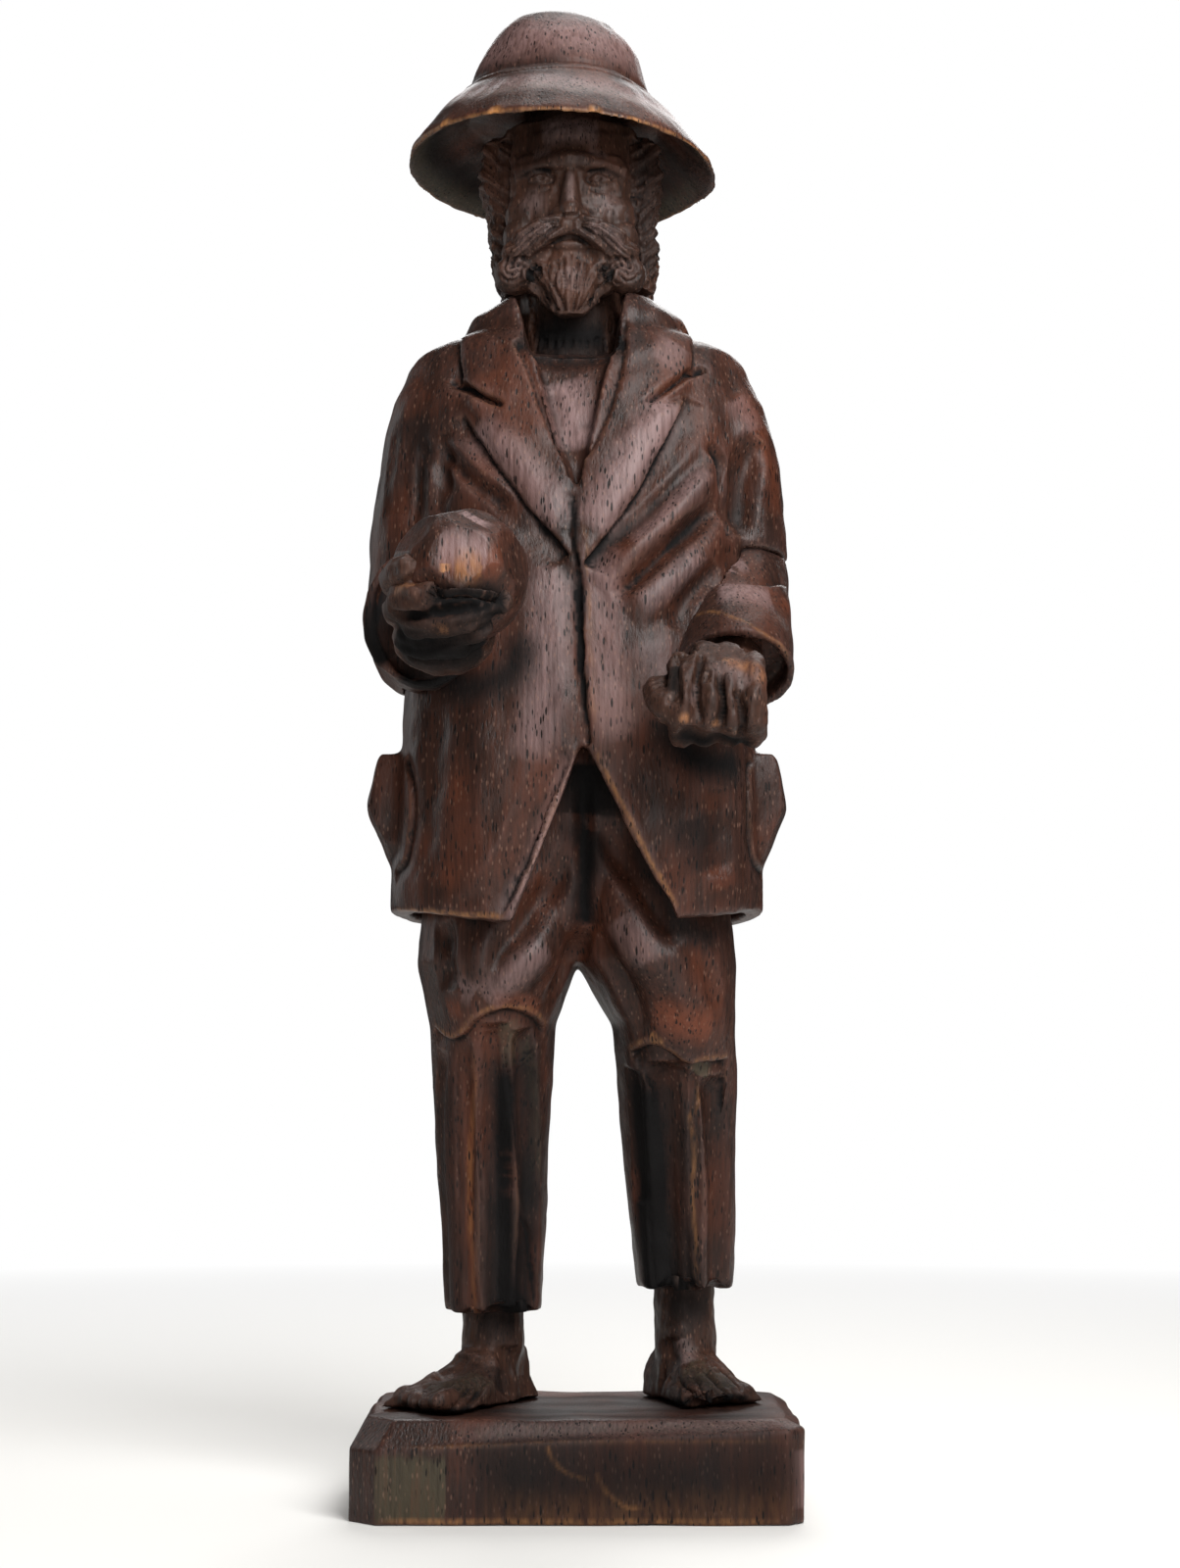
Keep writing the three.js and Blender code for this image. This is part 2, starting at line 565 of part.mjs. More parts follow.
// Trousers: two legs that meet at the crotch under a seat that fills the hollow of the coat's skirt
function trousersSolid() {
  const crotch = COAT_HEM_RISE - CROTCH_DROP;
  const hip = KNEE_HALF_WIDTH + LEG_SPREAD_ABOVE_KNEE;
  const legs = LEGS.map((leg) => {
    const x = leg.ankle.x;
    const y = leg.ankle.y;
    const keys = [
      [leg.hem, x, y - 2, TROUSER_HEM_HALF_WIDTH, TROUSER_HEM_HALF_DEPTH],
      [(leg.hem + KNEE_RISE) / 2, (x + leg.knee) / 2, 0.75 * y, KNEE_HALF_WIDTH - 2, KNEE_HALF_DEPTH - 2],
      [KNEE_RISE, leg.knee, 0.5 * y, KNEE_HALF_WIDTH, KNEE_HALF_DEPTH],
      [(KNEE_RISE + crotch) / 2, 0.85 * leg.knee + 0.15 * leg.thigh, 0.2 * y, hip, THIGH_HALF_DEPTH - 4],
      [crotch, leg.thigh, 0, THIGH_HALF_WIDTH, THIGH_HALF_DEPTH],
      [COAT_HEM_RISE + SKIRT_DEPTH / 2, 0.9 * leg.thigh, 0, 0.9 * THIGH_HALF_WIDTH, 0.85 * THIGH_HALF_DEPTH],
    ];
    return solid(
      loft(
        smoothSections(keys, LIMB_PITCH).map(([z, cx, cy, w, d]) =>
          ovalRing(z, cx - w, cx + w, cy - d, cy + d, 2.05, LEG_POINTS),
        ),
      ),
    );
  });
  const top = COAT_HEM_RISE + SKIRT_DEPTH - GLUE_LINE;
  const seat = solid(
    loft(
      smoothSections(
        [
          [crotch, 0.35 * SEAT_HALF_WIDTH, 0.45 * SEAT_FRONT, 0.6 * SEAT_BACK],
          [COAT_HEM_RISE, 0.9 * SEAT_HALF_WIDTH, 0.8 * SEAT_FRONT, 0.95 * SEAT_BACK],
          [0.6 * COAT_HEM_RISE + 0.4 * top, SEAT_HALF_WIDTH, SEAT_FRONT, SEAT_BACK],
          [top, SEAT_HALF_WIDTH, SEAT_FRONT, SEAT_BACK],
        ],
        LIMB_PITCH,
      ).map(([z, half, front, back]) => ovalRing(z, -half, half, -front, back, 2.3, COAT_POINTS)),
    ),
  );
  const skirt = cut(
    solid(torso(SKIRT_WALL).translate(0, 0, COAT_HEM_RISE - GLUE_LINE)),
    solid(torso(-SKIRT_WALL - GLUE_LINE).translate(0, 0, COAT_HEM_RISE - 2 * GLUE_LINE)),
  );
  const sockets = LEGS.map((leg) => {
    const x = ANKLE_HALF_WIDTH + GLUE_LINE;
    const y = ANKLE_HALF_DEPTH + GLUE_LINE;
    const heights = [leg.hem - 1, leg.hem + ANKLE_IN_LEG];
    const rings = heights.map((z) => ovalRing(z, -x, x, -y, y, 2, LEG_POINTS));
    const turned = loft(rings).rotateZ(THREE.MathUtils.degToRad(leg.turnOut));
    return solid(turned.translate(leg.ankle.x, leg.ankle.y, 0));
  });
  const dowels = LEGS.map((leg) => solid(legDowel(leg, PEG_FIT)));
  const pegs = [-1, 1].map((side) => solid(waistPeg(side, PEG_FIT).translate(0, 0, COAT_HEM_RISE)));
  return cut(join(...legs, seat), skirt, ...sockets, ...dowels, ...pegs);
}

// Two pegs stand in the seat and hold the coat.
function waistPeg(side, grow = 0) {
  const x = side * WAIST_PEG_X;
  const low = point(x, 0, SKIRT_DEPTH - WAIST_PEG_DEPTH);
  const high = point(x, 0, SKIRT_DEPTH + WAIST_PEG_DEPTH);
  return peg(low, high, PEG_RADIUS, grow);
}

// Coat: body, upper arms, collar and lapels in one block, hollowed below the waist
function coatSolid() {
  const before = -2 * COAT_FRONT;
  const behind = 2 * COAT_BACK;
  const neckOpening = frontPrism(
    [
      [BUTTON_X - 2.5, OPENING_HEIGHT],
      [LEFT_LAPEL_NECK_X, COLLAR_HEIGHT + 1],
      [RIGHT_LAPEL_NECK_X, COLLAR_HEIGHT + 1],
    ],
    before,
    0,
  );
  const lapel = (side) =>
    frontPrism(
      [
        [BUTTON_X - 2.5, OPENING_HEIGHT],
        [BUTTON_X - 2 + side, LAPEL_TIP_HEIGHT],
        [side * NOTCH_X, NOTCH_HEIGHT],
        [side * (NOTCH_X - NOTCH_DEPTH), NOTCH_HEIGHT - 0.4 * NOTCH_DEPTH],
        [side * (NOTCH_X + 0.5), NOTCH_HEIGHT + NOTCH_WIDTH],
        [side * COLLAR_CORNER_X, COLLAR_CORNER_HEIGHT],
        [side * COLLAR_EDGE_X, COLLAR_EDGE_HEIGHT],
        [side * COLLAR_HALF_WIDTH, COLLAR_HEIGHT],
        [side < 0 ? RIGHT_LAPEL_NECK_X : LEFT_LAPEL_NECK_X, COLLAR_HEIGHT],
      ],
      before,
      0,
    );
  const backCollar = frontPrism(
    [
      [-COLLAR_CORNER_X, COLLAR_HEIGHT - BACK_COLLAR_FALL],
      [COLLAR_CORNER_X, COLLAR_HEIGHT - BACK_COLLAR_FALL],
      [COLLAR_CORNER_X, COLLAR_HEIGHT],
      [-COLLAR_CORNER_X, COLLAR_HEIGHT],
    ],
    0,
    behind,
  );
  const skirtOpening = frontPrism(
    [
      [BUTTON_X, BUTTON_HEIGHT],
      [RIGHT_PANEL_CORNER, -1],
      [LEFT_PANEL_CORNER, -1],
    ],
    before,
    0,
  );
  const frontSeam = frontPrism(
    [
      [BUTTON_X - SEAM_WIDTH / 2, BUTTON_HEIGHT - 4 * SEAM_WIDTH],
      [BUTTON_X + SEAM_WIDTH / 2, BUTTON_HEIGHT - 4 * SEAM_WIDTH],
      [BUTTON_X - 2.5 + SEAM_WIDTH / 2, OPENING_HEIGHT + 4 * SEAM_WIDTH],
      [BUTTON_X - 2.5 - SEAM_WIDTH / 2, OPENING_HEIGHT + 4 * SEAM_WIDTH],
    ],
    before,
    0,
  );
  const hemCurve = frontPrism(
    [
      [-1.2 * HEM_HALF_WIDTH, -1],
      [1.2 * HEM_HALF_WIDTH, -1],
      [1.2 * HEM_HALF_WIDTH, 1.4 * COAT_HEM_LIFT],
      [0.4 * HEM_HALF_WIDTH, 0],
      [-0.4 * HEM_HALF_WIDTH, 0],
      [-1.2 * HEM_HALF_WIDTH, 1.4 * COAT_HEM_LIFT],
    ],
    before,
    behind,
  );
  const raised = solid(torso(LAPEL_RAISE));
  const body = join(solid(torso()), ...ARMS.map((arm) => solid(upperArm(arm))));
  const opened = cut(body, solid(neckOpening));
  const chest = solid(torso(-CHEST_RECESS, NECKLINE_HEIGHT));
  const lapels = [-1, 1].map((side) => cut(raised.intersect(solid(lapel(side))), solid(neckOpening)));
  const collar = raised.intersect(solid(backCollar));
  const seam = cut(solid(frontSeam), solid(torso(-SEAM_DEPTH)));
  const skirt = solid(torso(-SKIRT_WALL, SKIRT_DEPTH));
  const neck = solid(neckBlock(GLUE_LINE).applyMatrix4(head.matrix));
  const pegs = [
    ...[-1, 1].map((side) => solid(waistPeg(side, PEG_FIT))),
    ...ARMS.map((arm) => solid(elbowPeg(arm, PEG_FIT))),
    solid(neckPeg(PEG_FIT).applyMatrix4(head.matrix)),
  ];
  const whole = join(opened, chest, ...lapels, collar, ...[-1, 1].map((side) => pocket(side)));
  return cut(whole, seam, skirt, solid(hemCurve), solid(skirtOpening), neck, ...pegs);
}

// A patch pocket at the hip: full under its mouth and drawn in to the coat below
function pocket(side) {
  const bulge = (z) => {
    const share = (z - POCKET_BOTTOM) / (POCKET_TOP - POCKET_BOTTOM);
    const fullest = 0.58;
    return POCKET_BULGE * Math.sqrt(Math.max(0, 1 - (share / fullest - 1) ** 2));
  };
  const half = POCKET_HALF_LENGTH;
  const outline = new THREE.Shape(
    [
      [-half, POCKET_TOP],
      [-half, POCKET_BOTTOM + 8],
      [-half + 8, POCKET_BOTTOM],
      [half - 8, POCKET_BOTTOM],
      [half, POCKET_BOTTOM + 8],
      [half, POCKET_TOP],
    ].map(([y, z]) => new THREE.Vector2(y, z)),
  );
  const length = 2 * HEM_HALF_WIDTH;
  const through = new THREE.ExtrudeGeometry(outline, { depth: length, bevelEnabled: false })
    .rotateX(Math.PI / 2)
    .rotateZ(Math.PI / 2)
    .translate(side < 0 ? -length : 0, 0, 0);
  const inner = solid(torso(-SKIRT_WALL / 2));
  return cut(solid(torso(bulge)).intersect(solid(through)), inner);
}

// Forearms: wide sleeves that come forward from the elbows to an open cuff
const ARMS = [
  {
    side: "right",
    sign: -1,
    end: RIGHT_ARM_END,
    elbow: RIGHT_ELBOW,
    cuff: RIGHT_CUFF,
    elbowHalfHeight: RIGHT_ELBOW_HALF_HEIGHT,
    cuffHalfHeight: RIGHT_CUFF_HALF_HEIGHT,
    overrun: 0,
    sawnAt: COLLAR_HEIGHT,
  },
  {
    side: "left",
    sign: 1,
    end: LEFT_ARM_END,
    elbow: LEFT_ELBOW,
    cuff: LEFT_CUFF,
    elbowHalfHeight: LEFT_ELBOW_HALF_HEIGHT,
    cuffHalfHeight: LEFT_CUFF_HALF_HEIGHT,
    overrun: 2 * LEFT_ELBOW_HALF_HEIGHT,
    sawnAt: LEFT_ARM_END - GLUE_LINE,
  },
];

// Unit vectors along a forearm, across it and up from it
function forearmAxes(arm) {
  const along = new THREE.Vector3().subVectors(arm.cuff, arm.elbow).normalize();
  const across = new THREE.Vector3().crossVectors(along, point(0, 0, 1)).normalize();
  return { along, across, up: new THREE.Vector3().crossVectors(across, along) };
}

function sleeveRings(arm, sections) {
  const { along, across, up } = forearmAxes(arm);
  return sections.map(([place, width, height]) =>
    Array.from({ length: LEG_POINTS }, (_, i) => {
      const turn = (i / LEG_POINTS) * 2 * Math.PI;
      return arm.elbow
        .clone()
        .addScaledVector(along, place)
        .addScaledVector(across, width * Math.cos(turn))
        .addScaledVector(up, height * Math.sin(turn));
    }),
  );
}

function sleeveSolid(arm) {
  const length = arm.elbow.distanceTo(arm.cuff);
  const keys = [
    [-ELBOW_ROUNDING - arm.overrun, 0.5 * ELBOW_HALF_WIDTH, 0.5 * arm.elbowHalfHeight],
    [-0.55 * ELBOW_ROUNDING - arm.overrun, 0.85 * ELBOW_HALF_WIDTH, 0.85 * arm.elbowHalfHeight],
    [0, ELBOW_HALF_WIDTH, arm.elbowHalfHeight],
    [length / 2, (ELBOW_HALF_WIDTH + CUFF_HALF_WIDTH) / 2, (arm.elbowHalfHeight + arm.cuffHalfHeight) / 2],
    [length, CUFF_HALF_WIDTH, arm.cuffHalfHeight],
  ];
  const sleeve = solid(loft(sleeveRings(arm, smoothSections(keys, LIMB_PITCH))));
  const above = frontPrism(
    [
      [-2 * HEM_HALF_WIDTH, arm.sawnAt],
      [2 * HEM_HALF_WIDTH, arm.sawnAt],
      [2 * HEM_HALF_WIDTH, 2 * COLLAR_HEIGHT],
      [-2 * HEM_HALF_WIDTH, 2 * COLLAR_HEIGHT],
    ],
    -2 * COAT_FRONT,
    2 * COAT_BACK,
  );
  const inside = (place) => [place, CUFF_HALF_WIDTH - CUFF_WALL, arm.cuffHalfHeight - CUFF_WALL];
  const opening = solid(loft(sleeveRings(arm, [inside(length - CUFF_DEPTH), inside(length + 1)])));
  return cut(
    sleeve,
    solid(torso(GLUE_LINE)),
    solid(upperArm(arm, GLUE_LINE)),
    solid(above),
    opening,
    solid(elbowPeg(arm, PEG_FIT)),
    solid(wristPeg(arm, PEG_FIT)),
  );
}

// The elbow peg stands upright through the seam between the upper arm and the sleeve.
function elbowPeg(arm, grow = 0) {
  const x = arm.sign * (ARM_INNER + ARM_OUTER_ELBOW) * 0.52;
  const half = ELBOW_PEG_LENGTH / 2;
  return peg(point(x, 0, arm.end - half), point(x, 0, arm.end + half), PEG_RADIUS, grow);
}

// The wrist peg lies along the forearm, half in the sleeve and half in the hand.
function wristPeg(arm, grow = 0) {
  const { along } = forearmAxes(arm);
  const seat = arm.cuff.clone().addScaledVector(along, -CUFF_DEPTH);
  seat.x += arm.sign * WRIST_PEG_OUTSET;
  const half = WRIST_PEG_LENGTH / 2;
  const from = seat.clone().addScaledVector(along, -half);
  return peg(from, seat.clone().addScaledVector(along, half), PEG_RADIUS, grow);
}

// A wrist that starts on the floor of the cuff and runs to the hand
function wristTo(arm, end, reach) {
  const { along } = forearmAxes(arm);
  const seat = arm.cuff.clone().addScaledVector(along, GLUE_LINE - CUFF_DEPTH);
  const mouth = arm.cuff.clone().addScaledVector(along, 2);
  return limb([seat, mouth, end], () => reach, 5);
}

// The ball: a round form left with its broad flat tool cuts
function ballGeometry(centre, grow = 0) {
  const radii = point(BALL_WIDTH / 2 + grow, BALL_DEPTH / 2 + grow, BALL_HEIGHT / 2 + grow);
  return ellipsoid(centre, radii, BALL_FACETS + 5, BALL_FACETS);
}

const ballCentre = () => RIGHT_CUFF.clone().add(BALL_FROM_CUFF);

function ballPeg(grow = 0) {
  const seat = ballCentre().add(point(-6, 6, -BALL_HEIGHT / 2 + 1));
  const half = point(0, 0, BALL_PEG_LENGTH / 2);
  return peg(seat.clone().sub(half), seat.clone().add(half), SMALL_PEG_RADIUS, grow);
}

// Right hand: a cupped palm under the ball, with the fingers wrapped round its front below the thumb
function openHandSolid(arm) {
  const centre = ballCentre();
  const around = (azimuth, latitude, gap) => {
    const a = THREE.MathUtils.degToRad(azimuth);
    const l = THREE.MathUtils.degToRad(latitude);
    return centre.clone().add(
      point(
        (BALL_WIDTH / 2 + gap) * Math.cos(l) * Math.cos(a),
        (BALL_DEPTH / 2 + gap) * Math.cos(l) * Math.sin(a),
        (BALL_HEIGHT / 2 + gap) * Math.sin(l),
      ),
    );
  };
  const fingers = FINGER_ROWS.map((latitude, i) => {
    const shorter = [0, 0, 0, 4 * i, 8 * i];
    const path = FINGER_SWEEP.map((azimuth, k) => around(azimuth - shorter[k], latitude, 2.5));
    return solid(limb(path, roundTipped(CUPPED_FINGER_RADIUS, 0.14), 8));
  });
  const thumbPath = THUMB_SWEEP.map((azimuth, i) => around(azimuth, -6 + 2 * i, 1));
  const thumb = solid(limb(thumbPath, roundTipped(THUMB_RADIUS, 0.15), 7));
  const palmCentre = centre.clone().add(point(-6, 8, -0.42 * BALL_HEIGHT));
  const palm = solid(ellipsoid(palmCentre, point(0.42 * BALL_WIDTH, 0.5 * BALL_DEPTH, 0.3 * BALL_HEIGHT)));
  const wrist = solid(wristTo(arm, palmCentre, WRIST_RADIUS));
  return cut(
    join(palm, wrist, thumb, ...fingers),
    solid(ballGeometry(centre, GLUE_LINE)),
    solid(wristPeg(arm, PEG_FIT)),
    solid(ballPeg(PEG_FIT)),
  );
}

// Left hand: a closed fist with four bent fingers and the thumb along its inner side
function fistSolid(arm) {
  const centre = arm.cuff.clone().add(FIST_FROM_CUFF);
  const at = (x, y, z) => centre.clone().add(point(x, y, z));
  const half = FIST_WIDTH / 2;
  const high = FIST_HEIGHT / 2;
  const spacing = (FIST_WIDTH - 2 * FINGER_RADIUS) / 3;
  const fingers = [0, 1, 2, 3].map((i) => {
    const x = -half + FINGER_RADIUS + i * spacing;
    const path = [
      at(x, 6, high - FINGER_RADIUS),
      at(x, -10, high - FINGER_RADIUS),
      at(x, -16, 0),
      at(x, -14, FINGER_RADIUS - high),
      at(x, 4, FINGER_RADIUS - high),
    ];
    return solid(limb(path, roundTipped(FINGER_RADIUS, 0.17), 6));
  });
  const thumb = solid(
    limb(
      [at(-half + 3, 14, 4), at(-half - 3, 2, 5), at(-half - 2, -11, -3), at(-half + 4, -17, -9)],
      roundTipped(THUMB_RADIUS, 0.15),
      7,
    ),
  );
  const palm = solid(ellipsoid(at(0, 3, 0), point(half - 1, 0.42 * FIST_WIDTH, high - 3)));
  const wrist = solid(wristTo(arm, at(2, 6, 2), WRIST_RADIUS));
  const fist = join(palm, wrist, thumb, ...fingers);
  return cut(fist, solid(torso(GLUE_LINE)), solid(wristPeg(arm, PEG_FIT)));
}

// Head: skull, face, hair and beard in one block on a round neck
function neckBlock(grow = 0) {
  const reach = NECK_RADIUS + grow;
  const rings = [-NECK_IN_COAT - grow, 0.35 * HEAD_HEIGHT].map((z) =>
    ovalRing(z, -reach, reach, -reach, reach, 2, LEG_POINTS),
  );
  return loft(rings);
}

function neckPeg(grow = 0) {
  const half = NECK_PEG_LENGTH / 2;
  return peg(point(0, 0, -NECK_IN_COAT - half), point(0, 0, half - NECK_IN_COAT), PEG_RADIUS, grow);
}

function headSolid() {
  const eyeLine = CHIN_HEIGHT + HEAD_HEIGHT / 2;
  const noseFoot = CHIN_HEIGHT + 0.29 * HEAD_HEIGHT;
  const mouth = CHIN_HEIGHT + 0.2 * HEAD_HEIGHT;
  const face = -SKULL_HALF_DEPTH + 4;
  const skull = solid(
    ellipsoid(
      point(0, 3, CHIN_HEIGHT + 0.6 * HEAD_HEIGHT),
      point(SKULL_HALF_WIDTH, SKULL_HALF_DEPTH, 0.42 * HEAD_HEIGHT),
      18,
      10,
    ),
  );
  const mask = solid(
    loft(
      smoothSections(
        [
          [CHIN_HEIGHT, 0.5 * JAW_HALF_WIDTH, face + 3, 0],
          [mouth, JAW_HALF_WIDTH, face, 8],
          [eyeLine, SKULL_HALF_WIDTH - 2, face + 1, 10],
          [eyeLine + 0.3 * HEAD_HEIGHT, SKULL_HALF_WIDTH - 2, face + 5, 10],
        ],
        FOOT_PITCH,
      ).map(([z, half, front, back]) => ovalRing(z, -half, half, front, back, 2.3, LEG_POINTS)),
    ),
  );
  const nose = solid(
    loft(
      [
        [noseFoot, 6, NOSE_LENGTH],
        [noseFoot + 5, 5, NOSE_LENGTH - 1],
        [eyeLine + 3, 2.6, 2.5],
      ].map(([z, half, reach]) => ovalRing(z, -half, half, face - reach, face + 9, 2, 10)),
    ),
  );
  const brow = solid(
    limb(
      [-1, 0, 1].map((side) => {
        const bend = side ? BROW_BEND : 0;
        return point(side * BROW_REACH, face + bend, eyeLine + BROW_RISE - 0.25 * bend);
      }),
      () => BROW_RADIUS,
      8,
    ),
  );
  const sockets = [-1, 1].map((side) =>
    solid(ellipsoid(point(12 * side, face, eyeLine), point(7.5, 5, 4.2), 10, 6)),
  );
  const eyes = [-1, 1].map((side) =>
    solid(ellipsoid(point(12 * side, face + 6, eyeLine), point(6, 4.6, 4.6), 10, 6)),
  );
  const moustache = [-1, 1].map((side) =>
    solid(
      limb(
        [
          point(side, face - 2, noseFoot - 3),
          point(0.5 * side * MOUSTACHE_REACH, face - 3, mouth + 2),
          point(side * MOUSTACHE_REACH, face + 4, mouth - 6),
          point(0.72 * side * MOUSTACHE_REACH, face + 2, CHIN_HEIGHT),
        ],
        (share) => MOUSTACHE_RADIUS * (0.45 + 0.55 * Math.sin(Math.PI * (0.15 + 0.75 * share))),
        8,
      ),
    ),
  );
  const beard = solid(
    loft(
      smoothSections(
        [
          [CHIN_HEIGHT - BEARD_DROP, 0.35 * BEARD_HALF_WIDTH, face - 3, face + 5],
          [CHIN_HEIGHT - 0.5 * BEARD_DROP, 0.85 * BEARD_HALF_WIDTH, face - 4, face + 11],
          [CHIN_HEIGHT + 4, BEARD_HALF_WIDTH, face - 4, face + 16],
          [mouth - 4, 0.8 * BEARD_HALF_WIDTH, face - 2, face + 16],
        ],
        FOOT_PITCH,
      ).map(([z, half, front, back]) => ovalRing(z, -half, half, front, back, 2, 14)),
    ),
  );
  const locks = [-1, 1].flatMap((side) =>
    [0, 1].map((row) => {
      const path = [0, 1, 2, 3, 4].map((i) => {
        const wave = (i % 2 ? 1.6 : -1.2) * side;
        const inward = (side < 0 ? RIGHT_LOCK_DRAWN_IN : LEFT_LOCK_DRAWN_IN) * (i / 4) ** 2;
        const x = side * (HAIR_HALF_WIDTH - LOCK_RADIUS - inward) + wave;
        return point(x, -9 + 17 * row, eyeLine + 24 - i * 0.18 * HEAD_HEIGHT);
      });
      return solid(limb(path, (share) => LOCK_RADIUS * (1 - 0.3 * share), 8));
    }),
  );
  const backHair = solid(
    ellipsoid(
      point(0, 12, CHIN_HEIGHT + 0.46 * HEAD_HEIGHT),
      point(HAIR_HALF_WIDTH - 3, SKULL_HALF_DEPTH - 6, 0.44 * HEAD_HEIGHT),
      18,
      9,
    ),
  );
  const features = cut(join(skull, mask, nose, brow), ...sockets);
  const whole = join(features, ...eyes, ...moustache, beard, ...locks, backHair, solid(neckBlock()));
  const under = solid(headroom().applyMatrix4(hat.matrix));
  const pegs = [neckPeg(PEG_FIT), hatPeg(PEG_FIT).applyMatrix4(hat.matrix)];
  return cut(whole.intersect(under), ...pegs.map((hole) => solid(hole)));
}

// The room that the hat's hollow leaves for the head and the hair
function headroom() {
  const low = -2 * HEAD_HEIGHT;
  const profile = [
    [0, low],
    [2 * RIM_RADIUS, low],
    [2 * RIM_RADIUS, -HAT_CEILING],
    [RIM_RADIUS, -2 * GLUE_LINE],
    [HAT_MOUTH_RADIUS - GLUE_LINE, HAT_CEILING - GLUE_LINE],
    [0, HAT_CEILING - GLUE_LINE],
  ];
  return lathe(profile);
}

function lathe(profile) {
  const points = profile.map(([x, y]) => new THREE.Vector2(x, y));
  return new THREE.LatheGeometry(points, LATHE_POINTS).rotateX(Math.PI / 2);
}

function hatPeg(grow = 0) {
  const half = HAT_PEG_LENGTH / 2;
  return peg(point(0, 0, HAT_CEILING - half), point(0, 0, HAT_CEILING + half), PEG_RADIUS, grow);
}

// Hat: a tapered crown with a soft edge over a steep brim, hollow below
function hatSolid() {
  const crown = new THREE.SplineCurve(
    [
      [CROWN_RADIUS, CROWN_FOOT_HEIGHT],
      [0.5 * (CROWN_RADIUS + CROWN_TOP_RADIUS) + 1, 0.5 * (CROWN_FOOT_HEIGHT + CROWN_HEIGHT)],
      [CROWN_TOP_RADIUS, CROWN_HEIGHT - CROWN_DOME],
      [0.6 * CROWN_TOP_RADIUS, CROWN_HEIGHT - 0.25 * CROWN_DOME],
      [0, CROWN_HEIGHT],
    ].map(([x, y]) => new THREE.Vector2(x, y)),
  );
  const outside = lathe([
    [0, 0],
    [RIM_RADIUS - 1, 0],
    [RIM_RADIUS, 0.4 * BRIM_EDGE],
    [RIM_RADIUS - 0.6, BRIM_EDGE],
    [0.7 * RIM_RADIUS + 0.3 * CROWN_RADIUS, 0.3 * CROWN_FOOT_HEIGHT + BRIM_SWELL],
    [0.35 * RIM_RADIUS + 0.65 * CROWN_RADIUS, 0.65 * CROWN_FOOT_HEIGHT + 0.8 * BRIM_SWELL],
    [CROWN_RADIUS + 1.2, CROWN_FOOT_HEIGHT - 0.4],
    ...crown.getPoints(8).map((p) => [Math.max(0, p.x), p.y]),
  ]);
  const places = outside.attributes.position;
  for (let i = 0; i < places.count; i += 1) {
    const share = THREE.MathUtils.smoothstep(places.getZ(i), BRIM_EDGE, CROWN_FOOT_HEIGHT);
    places.setX(i, places.getX(i) + CROWN_SHIFT * share);
  }
  const hollow = lathe([
    [0, -BRIM_EDGE],
    [RIM_RADIUS - 1, -BRIM_EDGE],
    [RIM_RADIUS - 1, 0],
    [HAT_MOUTH_RADIUS, HAT_CEILING],
    [0, HAT_CEILING],
  ]);
  return cut(solid(outside), solid(hollow), solid(hatPeg(PEG_FIT)));
}

// Assembly
figure.add(piece("plinth", plinthSolid(), stainedWood));
for (const leg of LEGS) {
  standing.add(piece(`${leg.side}_foot`, footSolid(leg), darkWood));
  standing.add(piece(`${leg.side}_leg_dowel`, solid(legDowel(leg)), pegWood));
}
standing.add(piece("trousers", trousersSolid(), stainedWood));
coat.add(piece("coat", coatSolid(), stainedWood));
[-1, 1].forEach((side, i) => {
  coat.add(piece(`${ARMS[i].side}_waist_peg`, solid(waistPeg(side)), pegWood));
});
for (const arm of ARMS) {
  coat.add(piece(`${arm.side}_sleeve`, sleeveSolid(arm), stainedWood));
  coat.add(piece(`${arm.side}_elbow_peg`, solid(elbowPeg(arm)), pegWood));
  coat.add(piece(`${arm.side}_wrist_peg`, solid(wristPeg(arm)), pegWood));
}
const [rightArm, leftArm] = ARMS;
coat.add(piece("right_hand", openHandSolid(rightArm), darkWood));
coat.add(piece("left_hand", fistSolid(leftArm), darkWood));
coat.add(piece("ball", cut(solid(ballGeometry(ballCentre())), solid(ballPeg(PEG_FIT))), stainedWood));
coat.add(piece("ball_peg", solid(ballPeg()), pegWood));
head.add(piece("head", headSolid(), darkWood));
head.add(piece("neck_peg", solid(neckPeg()), pegWood));
hat.add(piece("hat", hatSolid(), stainedWood));
hat.add(piece("hat_peg", solid(hatPeg()), pegWood));

export default figure;
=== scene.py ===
import math

import bmesh
import bpy
import numpy as np
from mathutils import Matrix, Vector


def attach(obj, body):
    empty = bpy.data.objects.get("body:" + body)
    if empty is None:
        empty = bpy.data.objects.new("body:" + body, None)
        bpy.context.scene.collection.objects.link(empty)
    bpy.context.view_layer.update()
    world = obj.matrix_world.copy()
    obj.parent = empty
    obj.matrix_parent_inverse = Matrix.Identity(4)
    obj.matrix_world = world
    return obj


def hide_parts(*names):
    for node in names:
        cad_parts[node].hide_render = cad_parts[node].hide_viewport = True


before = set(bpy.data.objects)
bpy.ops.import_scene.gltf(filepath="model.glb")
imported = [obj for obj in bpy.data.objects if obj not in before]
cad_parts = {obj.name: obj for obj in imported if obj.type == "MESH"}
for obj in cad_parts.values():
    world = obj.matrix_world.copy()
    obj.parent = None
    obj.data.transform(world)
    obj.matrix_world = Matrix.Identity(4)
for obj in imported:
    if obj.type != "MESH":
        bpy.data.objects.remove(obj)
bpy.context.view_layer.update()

# Studio: a plain pale floor that runs out into white. The main light is broad, high up and in front on the
# right; weaker ones fill in from the top, low in front, behind and the left. The camera stands at knee
# height and looks up a little at the figure.
FLOOR_SIZE = 9
WHITE_STARTS = 0.35
WHITE_IS_FULL = 1.5
CAMERA_PLACE = (0.0051, -0.938, 0.148)
